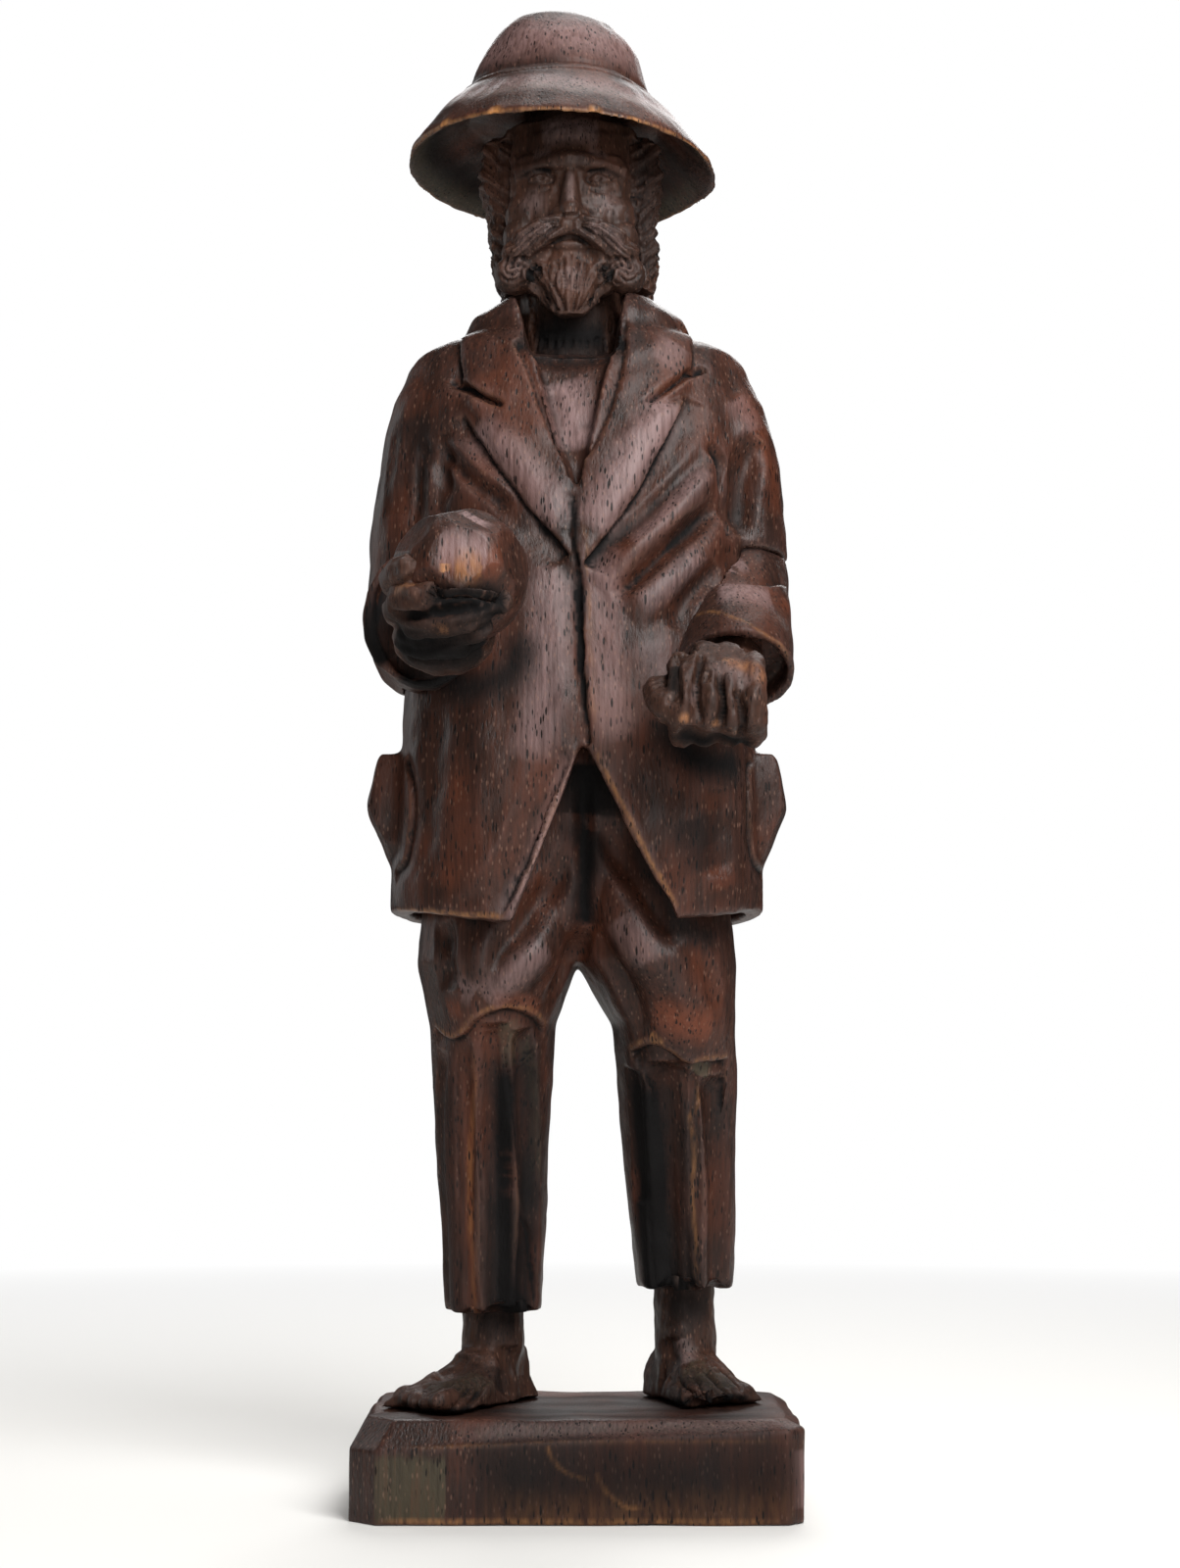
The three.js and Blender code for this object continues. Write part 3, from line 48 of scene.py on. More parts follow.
CAMERA_RISE = 8  # degrees above level
LENS_PIXELS = 2404  # focal length in pixels of a frame that is FRAME_PIXELS high
FRAME_PIXELS = 1600
SENSOR_WIDTH = 36


def linear(colour):
    """An sRGB hex colour as linear red, green, blue and alpha."""
    shares = [int(colour[i:i + 2], 16) / 255 for i in (1, 3, 5)]
    return [c / 12.92 if c <= 0.04045 else ((c + 0.055) / 1.055) ** 2.4 for c in shares] + [1.0]


def add(tree, kind, inputs=None, **settings):
    """Adds one node with its settings; an input is a value or another node's output."""
    made = tree.nodes.new(kind)
    for name, value in settings.items():
        setattr(made, name, value)
    for name, value in (inputs or {}).items():
        if isinstance(value, bpy.types.NodeSocket):
            tree.links.new(value, made.inputs[name])
        else:
            made.inputs[name].default_value = value
    return made


bpy.ops.object.select_all(action="DESELECT")
bpy.ops.mesh.primitive_plane_add(size=FLOOR_SIZE)
floor = bpy.context.object
floor.name = "floor"
paper = bpy.data.materials.new("pale_paper_floor")
paper.use_nodes = True
sheet = paper.node_tree
sheet.nodes.clear()
spot = add(sheet, "ShaderNodeTexCoord")
reach = add(sheet, "ShaderNodeVectorMath", {0: spot.outputs["Object"]}, operation="LENGTH")
far = add(sheet, "ShaderNodeMapRange", {
    "Value": reach.outputs["Value"], "From Min": WHITE_STARTS, "From Max": WHITE_IS_FULL})
eye = add(sheet, "ShaderNodeLightPath")
fade = add(sheet, "ShaderNodeMath", {
    0: far.outputs[0], 1: eye.outputs["Is Camera Ray"]}, operation="MULTIPLY")
matt = add(sheet, "ShaderNodeBsdfPrincipled", {"Base Color": linear("#e9e7e3"), "Roughness": 0.9})
white = add(sheet, "ShaderNodeEmission", {"Color": linear("#ffffff"), "Strength": 1.0})
blend = add(sheet, "ShaderNodeMixShader", {0: fade.outputs[0], 1: matt.outputs[0], 2: white.outputs[0]})
add(sheet, "ShaderNodeOutputMaterial", {"Surface": blend.outputs[0]})
floor.data.materials.append(paper)

room = bpy.data.worlds.new("white_room")
bpy.context.scene.world = room
room.use_nodes = True
air = room.node_tree
air.nodes.clear()
eye = add(air, "ShaderNodeLightPath")
soft = add(air, "ShaderNodeBackground", {"Color": linear("#e8ecf2"), "Strength": 0.04})
plain = add(air, "ShaderNodeBackground", {"Color": linear("#ffffff"), "Strength": 1.0})
seen = add(air, "ShaderNodeMixShader", {
    0: eye.outputs["Is Camera Ray"], 1: soft.outputs[0], 2: plain.outputs[0]})
add(air, "ShaderNodeOutputWorld", {"Surface": seen.outputs[0]})

for name, place, target, size, watts in [
    ("light_above", (0.42, -0.82, 0.92), (0, 0, 0.42), 0.65, 18.0),
    ("light_top", (0.15, 0.15, 1.6), (0, 0, 0.4), 0.8, 7.0),
    ("light_front", (0.15, -1.5, 0.3), (0, 0, 0.48), 0.7, 5.0),
    ("light_back", (0.1, 1.1, 1.2), (0, 0, 0.3), 0.9, 14.0),
    ("light_side", (-1.1, 0.6, 0.7), (0, 0, 0.32), 0.9, 3.5),
]:
    aim = (Vector(target) - Vector(place)).to_track_quat("-Z", "Y").to_euler()
    bpy.ops.object.light_add(type="AREA", location=place, rotation=aim)
    lamp = bpy.context.object
    lamp.name = name
    lamp.data.size = size
    lamp.data.energy = watts

bpy.ops.object.camera_add(location=CAMERA_PLACE, rotation=(math.radians(90 + CAMERA_RISE), 0, 0))
camera = bpy.context.object
camera.name = "camera"
camera.data.sensor_width = SENSOR_WIDTH
camera.data.lens = LENS_PIXELS / FRAME_PIXELS * SENSOR_WIDTH
bpy.context.scene.camera = camera
bpy.context.scene.view_settings.view_transform = "Standard"

# Plinth: a hewn block of open-pored hardwood with cut-off corners and a planed bevel round the top, stained
# dark. The top face shows gouge scoops and one front corner is rubbed down to grey wood; the feet are glued
# and dowelled on it.
MM = 0.001


def pick(piece):
    """Makes a piece the only one that the next operator acts on."""
    bpy.ops.object.select_all(action="DESELECT")
    piece.select_set(True)
    bpy.context.view_layer.objects.active = piece


def block(name, voxel, rounds, lumps=()):
    """A copy of one glued block, with rounded lumps added, given an even skin that can be carved."""
    form = bmesh.new()
    form.from_mesh(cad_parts[name].data)
    bmesh.ops.remove_doubles(form, verts=form.verts, dist=1e-6)
    for centre, halves in lumps:
        place = Matrix.LocRotScale(Vector(centre) * MM, None, Vector(halves) * MM)
        bmesh.ops.create_icosphere(form, subdivisions=4, radius=1, matrix=place)
    mesh = bpy.data.meshes.new(name + "_carved")
    form.to_mesh(mesh)
    form.free()
    piece = bpy.data.objects.new(name + "_carved", mesh)
    bpy.context.scene.collection.objects.link(piece)
    pick(piece)
    skin = piece.modifiers.new("even skin", "REMESH")
    skin.mode = "VOXEL"
    coarser = 1
    skin.voxel_size = voxel * MM * coarser
    bpy.ops.object.modifier_apply(modifier=skin.name)
    ease(piece, 2)
    ease(piece, rounds, keep=0.2)
    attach(piece, "root")
    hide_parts(name)
    return piece


def skin_of(mesh):
    """Every point of a mesh in millimetres, and the way it faces."""
    places = np.empty(len(mesh.vertices) * 3, np.float32)
    facing = np.empty(len(mesh.vertices) * 3, np.float32)
    mesh.vertices.foreach_get("co", places)
    mesh.vertex_normals.foreach_get("vector", facing)
    return places.reshape(-1, 3).astype(float) / MM, facing.reshape(-1, 3).astype(float)


def put_back(piece, places):
    """Moves every point of a piece to its new place, in millimetres."""
    piece.data.vertices.foreach_set("co", (places * MM).astype(np.float32).ravel())
    piece.data.update()


def settled(piece, rounds, share=None):
    """Where every point lies once the surface is rubbed smooth that often, each point by its share."""
    rub = piece.modifiers.new("rubbed", "SMOOTH")
    rub.factor = 0.5
    rub.iterations = rounds
    if share is not None:
        # The shares go in tenths, since a group takes one weight for many points at a time
        held = piece.vertex_groups.new(name="held")
        steps = np.round(share * 10).astype(int)
        for step in range(1, 11):
            held.add((steps == step).nonzero()[0].tolist(), step / 10, "REPLACE")
        rub.vertex_group = held.name
    places, _ = skin_of(piece.evaluated_get(bpy.context.evaluated_depsgraph_get()).data)
    piece.modifiers.remove(rub)
    piece.vertex_groups.clear()
    return places


# Rounds of rubbing that leave only the surface close by, and only the form at large
CLOSE_BY = 6
AT_LARGE = 40


def ease(piece, rounds, keep=0.0, where=None):
    """Rubs the surface smoother, all over or round one place; edges that stand out by keep are spared."""
    places, _ = skin_of(piece.data)
    share = np.ones(len(places))
    if keep:
        share *= np.exp(-((np.linalg.norm(settled(piece, CLOSE_BY) - places, axis=1) / keep) ** 2))
    if where:
        # Full to 0.6 of the reach, and gone at 1.6 of it
        centre, reach = where
        share *= np.clip(1.6 - np.linalg.norm(places - np.array(centre), axis=1) / reach, 0, 1)
    put_back(piece, settled(piece, rounds, share if keep or where else None))


def along(points):
    """Points a millimetre apart on a smooth line through the given ones, and each one's share of the way."""
    points = np.array(points, float)
    if len(points) == 1:
        return points, np.array([0.5])
    ends = np.vstack([2 * points[0] - points[1], points, 2 * points[-1] - points[-2]])
    line = []
    for a, b, c, d in zip(ends, ends[1:], ends[2:], ends[3:]):
        t = np.linspace(0, 1, max(2, int(np.linalg.norm(c - b))), endpoint=False)[:, None]
        bend = (2 * a - 5 * b + 4 * c - d) * t**2 + (3 * b - a - 3 * c + d) * t**3
        line.append(0.5 * (2 * b + (c - a) * t + bend))
    line = np.vstack(line + [points[-1:]])
    run = np.concatenate([[0], np.cumsum(np.linalg.norm(np.diff(line, axis=0), axis=1))])
    return line, run / run[-1]


def apart(points, line):
    """The distance of every point from every point of a line."""
    squares = (points**2).sum(1)[:, None] + (line**2).sum(1)[None] - 2 * points @ line.T
    return np.sqrt(np.clip(squares, 0, None))


# How a tool's cut falls off from its middle to its edge: the powers in (1 - share ** first) ** second
CUTS = {"vee": (1, 1), "gouge": (2, 1), "soft": (2, 2), "step": (1, 1)}
STROKE_SLACK = 8  # how far off the surface a stroke's points may be given
EVENED = 7  # how many points of a laid line are averaged to even it out


def trace(places, facing, points, width, cut, taper):
    """How strongly a tool of that width, drawn along the line, bites at each point near it.

    The line is first laid on the surface and evened out. The tool doesn't reach the far side
    of a thin wall. A step only lowers the ground on the line's right hand, seen from outside,
    and leaves a sharp edge there.
    """
    line, share = along(points)
    slack = width + STROKE_SLACK
    near = np.all((places > line.min(0) - slack) & (places < line.max(0) + slack), axis=1).nonzero()[0]
    if not len(near):
        return near, np.zeros(0)
    nearest = near[apart(places[near], line).argmin(0)]
    line = places[nearest]
    if len(line) > EVENED + 1:
        spare = EVENED // 2
        padded = np.vstack([line[:1]] * spare + [line] + [line[-1:]] * spare)
        line = np.array([np.convolve(p, np.full(EVENED, 1 / EVENED), "valid") for p in padded.T]).T
    gaps = apart(places[near], line)
    best = gaps.argmin(1)
    inside = np.clip(gaps[np.arange(len(near)), best] / width, 0, 1)
    power, root = CUTS[cut]
    ends = np.clip(np.minimum(share, 1 - share) / max(taper, 1e-6), 0, 1)[best]
    if len(line) == 1 or taper == 0:
        ends = 1
    bite = (1 - inside**power) ** root * np.sin(ends * math.pi / 2)
    alike = (facing[near] * facing[nearest][best]).sum(1)
    bite *= np.clip(3 * alike + 2.7, 0, 1)
    if cut == "step":
        ahead = np.gradient(line, axis=0)[best]
        ahead /= np.linalg.norm(ahead, axis=1)[:, None] + 1e-9
        right = ((places[near] - line[best]) * np.cross(ahead, facing[near])).sum(1)
        bite *= np.clip(right + 0.5, 0, 1)
    return near, bite


def carve(piece, strokes, cut="gouge", taper=0.25):
    """Draws a tool along each (points, width, depth); a negative depth leaves the line standing proud."""
    places, facing = skin_of(piece.data)
    sunk = np.zeros(len(places))
    for points, width, depth in strokes:
        near, bite = trace(places, facing, points, width, cut, taper)
        sunk[near] += bite * depth
    put_back(piece, places - facing * sunk[:, None])


def rough(piece, spread, height, seed):
    """Leaves the uneven surface of handwork: swells of that spread and height, longer up the grain."""
    # How many waves are added up, and how far their sum swings
    waves = 14
    swing = 3.7
    places, facing = skin_of(piece.data)
    draw = np.random.default_rng(seed)
    swell = np.zeros(len(places))
    for _ in range(waves):
        wave = draw.normal(size=3) * np.array([1, 1, 0.55])
        wave *= 2 * math.pi / spread / np.linalg.norm(wave) * draw.uniform(0.5, 1.3)
        swell += np.sin(places @ wave + draw.uniform(0, 6.28))
    put_back(piece, places + facing * (swell * height / swing)[:, None])


def rise(values, start, span):
    """A share that is nothing up to the start and full that span past it."""
    return np.clip((values - start) / span, 0, 1)


def paint_wear_dirt_and_light(piece, worn=(), red=(), grime_and_shade=(), grey=(), faded_and_sheen=()):
    """Keeps where the wood is worn, red, grey, dirty or painted in shade, and faded or painted with sheen,
    by edges and hollows and along strokes.
    """
    # How many millimetres each point stands out from the surface close by, and from the form at large
    places, facing = skin_of(piece.data)
    fine = ((places - settled(piece, CLOSE_BY)) * facing).sum(1)
    broad = ((places - settled(piece, AT_LARGE)) * facing).sum(1)
    # Hollows are darkened both for dirt and as painted shade, and the broad faces that stand out are
    # lightened both as fading and as painted sheen
    layers = {
        "worn": rise(fine, 0.1, 0.3) * 0.08 + rise(broad, 0.7, 1.8) * 0.08,
        "red": np.zeros(len(places)),
        "grime_and_shade": rise(-fine, 0.06, 0.3) * 0.6 + rise(-broad, 0.3, 1.4) * 0.9,
        "grey": np.zeros(len(places)),
        "faded_and_sheen": rise(broad, 0, 1.3) * 0.22,
    }
    for name, strokes in (("worn", worn), ("red", red), ("grime_and_shade", grime_and_shade), ("grey", grey), ("faded_and_sheen", faded_and_sheen)):
        for points, width, amount in strokes:
            near, bite = trace(places, facing, points, width, "soft", 0.15)
            layers[name][near] += bite * amount
    for name, values in layers.items():
        kept = piece.data.attributes.new(name, "FLOAT", "POINT")
        kept.data.foreach_set("value", np.clip(values, 0, 1).astype(np.float32))


# Colours that the woods share: grey bare wood, also laid on as painted sheen and reflected light, dust in a
# pore, an open pore, and old wax with dirt in it, also laid on as painted shade
GREY_WOOD_AND_SHEEN = "#3e382b"
PORE_DUST = "#8d6b5b"
OPEN_PORE = "#120c0a"
OLD_DIRT_AND_SHADE = "#080606"


def stained_wood(name, deep, body, warm, faded_and_sheen_colour, bare, roughness, pore_width=1.2):
    """Open-pored hardwood, stained and waxed: upright grain, short dark pores, bare where it is rubbed."""
    made = bpy.data.materials.new(name)
    made.use_nodes = True
    tree = made.node_tree
    tree.nodes.clear()
    spot = add(tree, "ShaderNodeTexCoord").outputs["Object"]

    def marks(across, up):
        """Places in a pattern whose marks are that many millimetres wide, and long up the grain."""
        scale = (1 / (across * MM), 1 / (across * MM), 1 / (up * MM))
        return add(tree, "ShaderNodeMapping", {"Vector": spot, "Scale": scale}).outputs[0]

    def layer(kind):
        """Where the carving is worn, red, grey, dirty or painted in shade, and faded or painted with sheen.
        """
        return add(tree, "ShaderNodeAttribute", attribute_name=kind).outputs["Fac"]

    def ramp(value, low, high, least=0.0, most=1.0):
        """A share that goes from least to most as the value goes from low to high."""
        return add(tree, "ShaderNodeMapRange", {
            "Value": value, "From Min": low, "From Max": high, "To Min": least, "To Max": most}).outputs[0]

    def reckon(operation, *values):
        """What one sum of the given kind makes of the values."""
        return add(tree, "ShaderNodeMath", dict(enumerate(values)), operation=operation).outputs[0]

    def over(base, share, colour):
        """The base with another colour laid over it by its share."""
        return add(tree, "ShaderNodeMix", {
            0: share, 6: base, 7: linear(colour)}, data_type="RGBA").outputs[2]

    # The wood's figure: how wide its marks of each kind are, how long up the grain, and how finely broken up
    figure = {}
    for kind, across, up, detail in (
            ("rings", 9, 130, 3.0), ("clouds", 26, 45, 2.0), ("crumbs", 2.2, 9, 3.0),
            ("fibres", 1.3, 34, 2.0), ("drifts", 5, 16, 1.0), ("nap", 1.1, 2.8, 2.0)):
        figure[kind] = add(tree, "ShaderNodeTexNoise", {
            "Vector": marks(across, up), "Scale": 1.0, "Detail": detail}).outputs[0]

    # Growth rings seen from the side: bands that run up the block for a hand's length
    base = over(linear(deep), ramp(figure["rings"], 0.3, 0.62, least=0.4), body)

    # Clouds of warmer stain, a thumb wide, and the places that the carver's stain left red
    base = over(base, reckon("MAXIMUM", ramp(figure["clouds"], 0.45, 0.7, most=0.5), layer("red")), warm)

    # Grey wood where stain and wax are gone, with an edge that crumbles along the grain; the same grey is
    # painted as sheen on the insteps and as reflected light under the hat's brim
    gone = reckon("ADD", figure["crumbs"], layer("grey"))
    base = over(base, ramp(gone, 0.65, 1.2, most=0.85), GREY_WOOD_AND_SHEEN)

    # Fibres: light and dark streaks
    base = over(base, ramp(figure["fibres"], 0.52, 0.72, most=0.22), warm)
    base = over(base, ramp(figure["fibres"], 0.5, 0.3, most=0.4), deep)

    # Stain faded to a dusty grey brown on the broad faces that stand out, with a painted sheen in the same
    # colour there, and bare wood on rubbed edges, both broken up along the grain
    faded_and_sheen = reckon("MULTIPLY", ramp(figure["fibres"], 0.3, 0.6, least=0.45), layer("faded_and_sheen"))
    base = over(base, faded_and_sheen, faded_and_sheen_colour)
    worn = reckon("MULTIPLY", ramp(figure["crumbs"], 0.3, 0.62), layer("worn"))
    base = over(base, worn, bare)

    # Pores: dashes about four and a half times as long as wide, the dark ones in drifts and a few between
    # them filled with pale dust; drawn about twice as wide as real ones so that they show
    cell = add(tree, "ShaderNodeTexVoronoi", {"Vector": marks(1.7, 5), "Scale": 1.0})
    base = over(base, ramp(cell.outputs["Distance"], 0.26, 0.1, most=0.26), PORE_DUST)
    cell = add(tree, "ShaderNodeTexVoronoi", {"Vector": marks(pore_width, pore_width / 0.22), "Scale": 1.0})
    size = reckon("MULTIPLY_ADD", cell.outputs["Color"], 0.4, cell.outputs["Distance"])
    pore = reckon("MULTIPLY", ramp(size, 0.5, 0.36), ramp(figure["drifts"], 0.38, 0.5, most=0.95))
    base = over(base, pore, OPEN_PORE)

    # Old wax and dirt in the hollows, and painted shade in recesses and under parts, dull and nearly black
    dirt_and_shade = layer("grime_and_shade")
    base = over(base, dirt_and_shade, OLD_DIRT_AND_SHADE)

    # A satin wax that the open pores break up
    height = reckon("MULTIPLY_ADD", figure["fibres"], 0.4, figure["nap"])
    height = reckon("MULTIPLY_ADD", pore, -0.4, height)
    relief = add(tree, "ShaderNodeBump", {"Height": height, "Strength": 0.5, "Distance": 0.4 * MM})
    dull = ramp(figure["clouds"], 0.3, 0.7, roughness - 0.07, roughness + 0.1)
    dull = reckon("MULTIPLY_ADD", dirt_and_shade, 0.4, dull)
    wood = add(tree, "ShaderNodeBsdfPrincipled", {
        "Base Color": base, "Roughness": dull, "IOR": 1.5, "Specular IOR Level": 0.17,
        "Normal": relief.outputs[0]})
    add(tree, "ShaderNodeOutputMaterial", {"Surface": wood.outputs[0]})
    return made


FACES_ALLOWED = 97000
FACES_KEPT = 96000


def finish(piece, wood):
    """Thins a skin of more than FACES_ALLOWED faces down to FACES_KEPT faces, and gives it its wood."""
    pick(piece)
    if len(piece.data.polygons) > FACES_ALLOWED:
        thin = piece.modifiers.new("thinned", "DECIMATE")
        thin.ratio = FACES_KEPT / len(piece.data.polygons)
        bpy.ops.object.modifier_apply(modifier=thin.name)
    piece.data.materials.clear()
    piece.data.materials.append(wood)
    bpy.ops.object.shade_smooth()


# Walnut-brown stain and wax over an open-pored hardwood: dark bands, red where the stain is thin, dusty grey
# brown where it has faded and where sheen is painted, and orange where it is rubbed bare
coat_wood = stained_wood(
    "dark_stained_open_pored_hardwood", "#170f0c", "#33211b", "#5a2f1e", "#796260", "#a87446", 0.4)
plinth = block("plinth", 0.95, 1)
scoops = [([(-60, y, 37), (0, y - 2, 37), (70, y - 4, 37)], 7, 0.7) for y in range(-30, 50, 9)]
carve(plinth, scoops, taper=0.1)
rough(plinth, 30, 0.35, 1)
scratches = [
    ([(-11, -53, 30), (-9, -53, 24), (-5, -53, 20), (1, -53, 17), (6, -53, 17)], 1.3, 0.6),
    ([(7, -53, 20), (10, -53, 13), (15, -53, 9), (20, -53, 6), (25, -53, 7)], 1.3, 0.7),
]
edges = [
    ([(-74, -53, 1), (0, -53, 1), (78, -53, 1)], 2, 0.5),
    ([(-66, -53, 28), (0, -53, 30), (82, -51, 30)], 1.3, 0.16),
]
bare_flecks = [([(-36, -53, 6), (20, -53, 5), (84, -53, 8)], 13, 0.2)]
rubbed_corner = [([(-76, -53, 13), (-62, -53, 13), (-46, -53, 12)], 16, 2.0)]
# Painted shade over the whole front face; the top darker and duller in bands
shaded_front = [([(-44, -53, 15), (0, -53, 16), (88, -53, 16)], 30, 0.8)]
dull_top = [([(-70, y, 37), (0, y, 37), (76, y, 37)], 14, 0.6) for y in (-34, -14, 6, 26)]
# Grey and painted sheen on the top bevel, and painted light on the right corner
bevel_grey_and_sheen = [([(-46, -51, 33), (0, -50, 34), (84, -47, 34)], 5, 0.4)]
lit_right_corner = [([(84, -48, 28), (85, -47, 4)], 8, 0.5)]
paint_wear_dirt_and_light(plinth, worn=scratches + edges + bare_flecks, red=bare_flecks, grey=rubbed_corner + bevel_grey_and_sheen,
        grime_and_shade=shaded_front + dull_top, faded_and_sheen=bevel_grey_and_sheen + lit_right_corner)
finish(plinth, coat_wood)

# Feet: bare feet and ankles, each carved from one darker block with its toes and sinews, left rough from the
# knife; a dowel runs from the plinth through the ankle up into the trouser leg.

# The same wood under a deeper, duller stain and with finer pores, for skin, hair and beard
skin_wood = stained_wood(
    "dark_stained_carved_hardwood", "#1a110e", "#38251d", "#503124", "#6a5855", "#9a6a48", 0.48, 0.8)
right_foot = block("right_foot", 0.7, 2)
ease(right_foot, 90, where=((-46, -22, 47), 20))
ease(right_foot, 60, where=((-17, 6, 54), 13))
# On each foot the sinews and the hollows beside them come first, then the cuts between the toes
carve(right_foot, [
    ([(-34, 3, 62), (-33, 1, 55), (-32, -5, 48), (-36, -18, 42)], 4, -1.2),
    ([(-22, 2, 60), (-20, -2, 48), (-21, -6, 40)], 8, 2.0),
    ([(-57, -6, 50), (-48, -6, 57), (-42, -2, 62)], 13, 3.6),
    ([(-13, 42, 44), (-14, 30, 46), (-14, 16, 47), (-16, 2, 46)], 12, 3.0),
], cut="soft")
carve(right_foot, [
    ([(-59, -31, 42), (-52, -26, 47), (-46, -16, 51)], 1.6, 2.0),
    ([(-55, -34, 39), (-50, -30, 44), (-43, -18, 49)], 1.6, 2.0),
    ([(-48, -34, 39), (-43, -26, 44), (-39, -16, 48)], 1.6, 2.0),
    ([(-40, -28, 39), (-37, -19, 43), (-35, -10, 48)], 1.6, 2.0),
], cut="vee", taper=0.3)
left_foot = block("left_foot", 0.7, 2)
ease(left_foot, 90, where=((50, -2, 48), 20))
ease(left_foot, 60, where=((32, 12, 54), 13))
carve(left_foot, [
    ([(38, 14, 67), (40, 11, 60), (42, 6, 53)], 5, -1.4),
    ([(31, 10, 62), (31, 4, 52), (32, 2, 44)], 6, 1.6),
    ([(34, -14, 40), (40, -19, 40), (46, -21, 40), (54, -18, 40), (60, -12, 40)], 12, 5.5),
    ([(27, 16, 46), (28, 8, 46)], 9, 1.6),
], cut="soft")
carve(left_foot, [
    ([(36, 4, 49), (40, -8, 47), (42, -18, 43)], 1.6, 2.0),
    ([(44, 2, 50), (48, -8, 46), (51, -18, 43)], 1.6, 2.0),
    ([(49, 5, 50), (54, -4, 46), (59, -13, 42)], 1.6, 2.0),
    ([(53, 10, 50), (60, 2, 45), (66, -6, 41)], 1.6, 2.0),
], cut="vee", taper=0.3)
# Nicks of the knife over the insteps
draw = np.random.default_rng(11)
for foot, x, y in ((right_foot, -44, -12), (left_foot, 47, 0)):
    nicks = []
    for _ in range(40):
        start = np.array([x, y, 50]) + draw.uniform((-16, -14, -8), (16, 10, 14))
        nicks.append(([start, start + draw.uniform((-5, -8, -6), (5, -2, 0))], 0.9, draw.uniform(0.3, 0.7)))
    carve(foot, nicks, cut="vee")
for foot, seed in ((right_foot, 2), (left_foot, 12)):
    rough(foot, 15, 0.3, seed)
    rough(foot, 5, 0.2, seed + 1)
# Painted shade where the toes meet the plinth, under the trouser hem and beside the sinews, with some dirt;
# the grey over the instep is painted sheen
right_dirt_and_shade = [
    ([(-68, -18, 37), (-56, -32, 37), (-47, -33, 37), (-37, -22, 37)], 3, 1.0),
    ([(-40, 4, 70), (-30, 0, 68), (-20, 6, 68)], 14, 0.8),
    ([(-24, 0, 52), (-22, -4, 44)], 9, 0.6),
    ([(-60, -20, 42), (-46, -20, 48), (-32, -6, 56)], 18, 0.45),
]
paint_wear_dirt_and_light(right_foot, grime_and_shade=right_dirt_and_shade, grey=[([(-58, -22, 42), (-46, -20, 48), (-34, -8, 54)], 14, 0.45)])
# Painted shade along the toes on the plinth, under the hem and over the instep, with some dirt; the grey
# over the instep is painted sheen and the pale patch at the front of the ankle a painted highlight
left_dirt_and_shade = [
    ([(35, 4, 38), (41, -16, 38), (50, -19, 38), (60, -12, 38), (69, 0, 38)], 3, 1.0),
    ([(36, 16, 74), (45, 12, 73), (54, 17, 73)], 12, 0.8),
    ([(36, -2, 49), (48, -6, 46), (64, -4, 44)], 14, 0.55),
]
paint_wear_dirt_and_light(left_foot, grime_and_shade=left_dirt_and_shade, grey=[([(40, 4, 54), (52, -2, 48), (62, -2, 43)], 14, 0.45)],
        faded_and_sheen=[([(40, 9, 62), (43, 4, 54)], 6, 0.7)])
for foot in (right_foot, left_foot):
    finish(foot, skin_wood)

# Trousers: both legs and the seat in one block, rolled folds drawn up to the fork and gouged flutes below
# the knees; the hems are hollowed over the ankles and the seat is pegged up into the coat.
trousers = block("trousers", 1.0, 30)
right_arch = [
    (-57, -4, 183), (-51, -14, 177), (-45, -20, 178), (-40, -24, 184), (-33, -26, 187), (-25, -25, 188),
    (-17, -17, 186), (-12, -6, 181),
]
left_arch = [(20, -6, 172), (27, -16, 175), (35, -18, 173), (42, -15, 168), (51, -13, 168), (60, -1, 170)]
carve(trousers, [
    # Rolls of cloth from the fork down over the thighs
    ([(0, -18, 232), (-8, -22, 220), (-17, -27, 208), (-27, -29, 198), (-36, -27, 190)], 11, -3.4),
    ([(-31, -30, 224), (-36, -30, 208), (-40, -27, 193)], 6, -2.0),
    ([(4, -22, 244), (14, -27, 226), (27, -29, 210), (40, -27, 196), (50, -20, 188)], 13, -3.8),
    # Hollows beside them, and the fork
    ([(2, -25, 254), (-8, -24, 238), (-18, -28, 224), (-28, -31, 212), (-34, -30, 202)], 8, 4.0),
    ([(4, -19, 228), (-2, -12, 208), (-8, -13, 196), (-13, -14, 186)], 7, 3.0),
    ([(7, -25, 264), (19, -28, 243), (30, -31, 227), (41, -31, 213)], 8, 4.6),
    ([(8, -21, 219), (16, -24, 203), (22, -21, 190), (27, -17, 176)], 7, 3.2),
    ([(44, -29, 216), (51, -24, 202), (55, -18, 188)], 7, 1.8),
    ([(3, -30, 284), (3, -26, 262), (3, -24, 240), (3, -20, 218)], 5, 4.0),
    # Folds behind the knees
    ([(-50, 42, 176), (-34, 44, 172), (-18, 40, 178)], 6, 1.8),
    ([(-52, 38, 158), (-34, 41, 162), (-16, 36, 156)], 6, 1.4),
    ([(24, 42, 172), (42, 46, 168), (58, 38, 176)], 6, 1.8),
    ([(22, 38, 156), (42, 42, 160), (60, 36, 154)], 6, 1.4),
], cut="soft", taper=0.4)
ease(trousers, 3)
carve(trousers, [([(-52, -21, 224), (-51, -23, 212), (-50, -22, 194)], 6.5, 3.4)], taper=0.35)
# The shins lie lower than the cloth over the knees
carve(trousers, [(right_arch, 24, 2.6), (left_arch, 24, 2.8)], cut="step", taper=0.08)
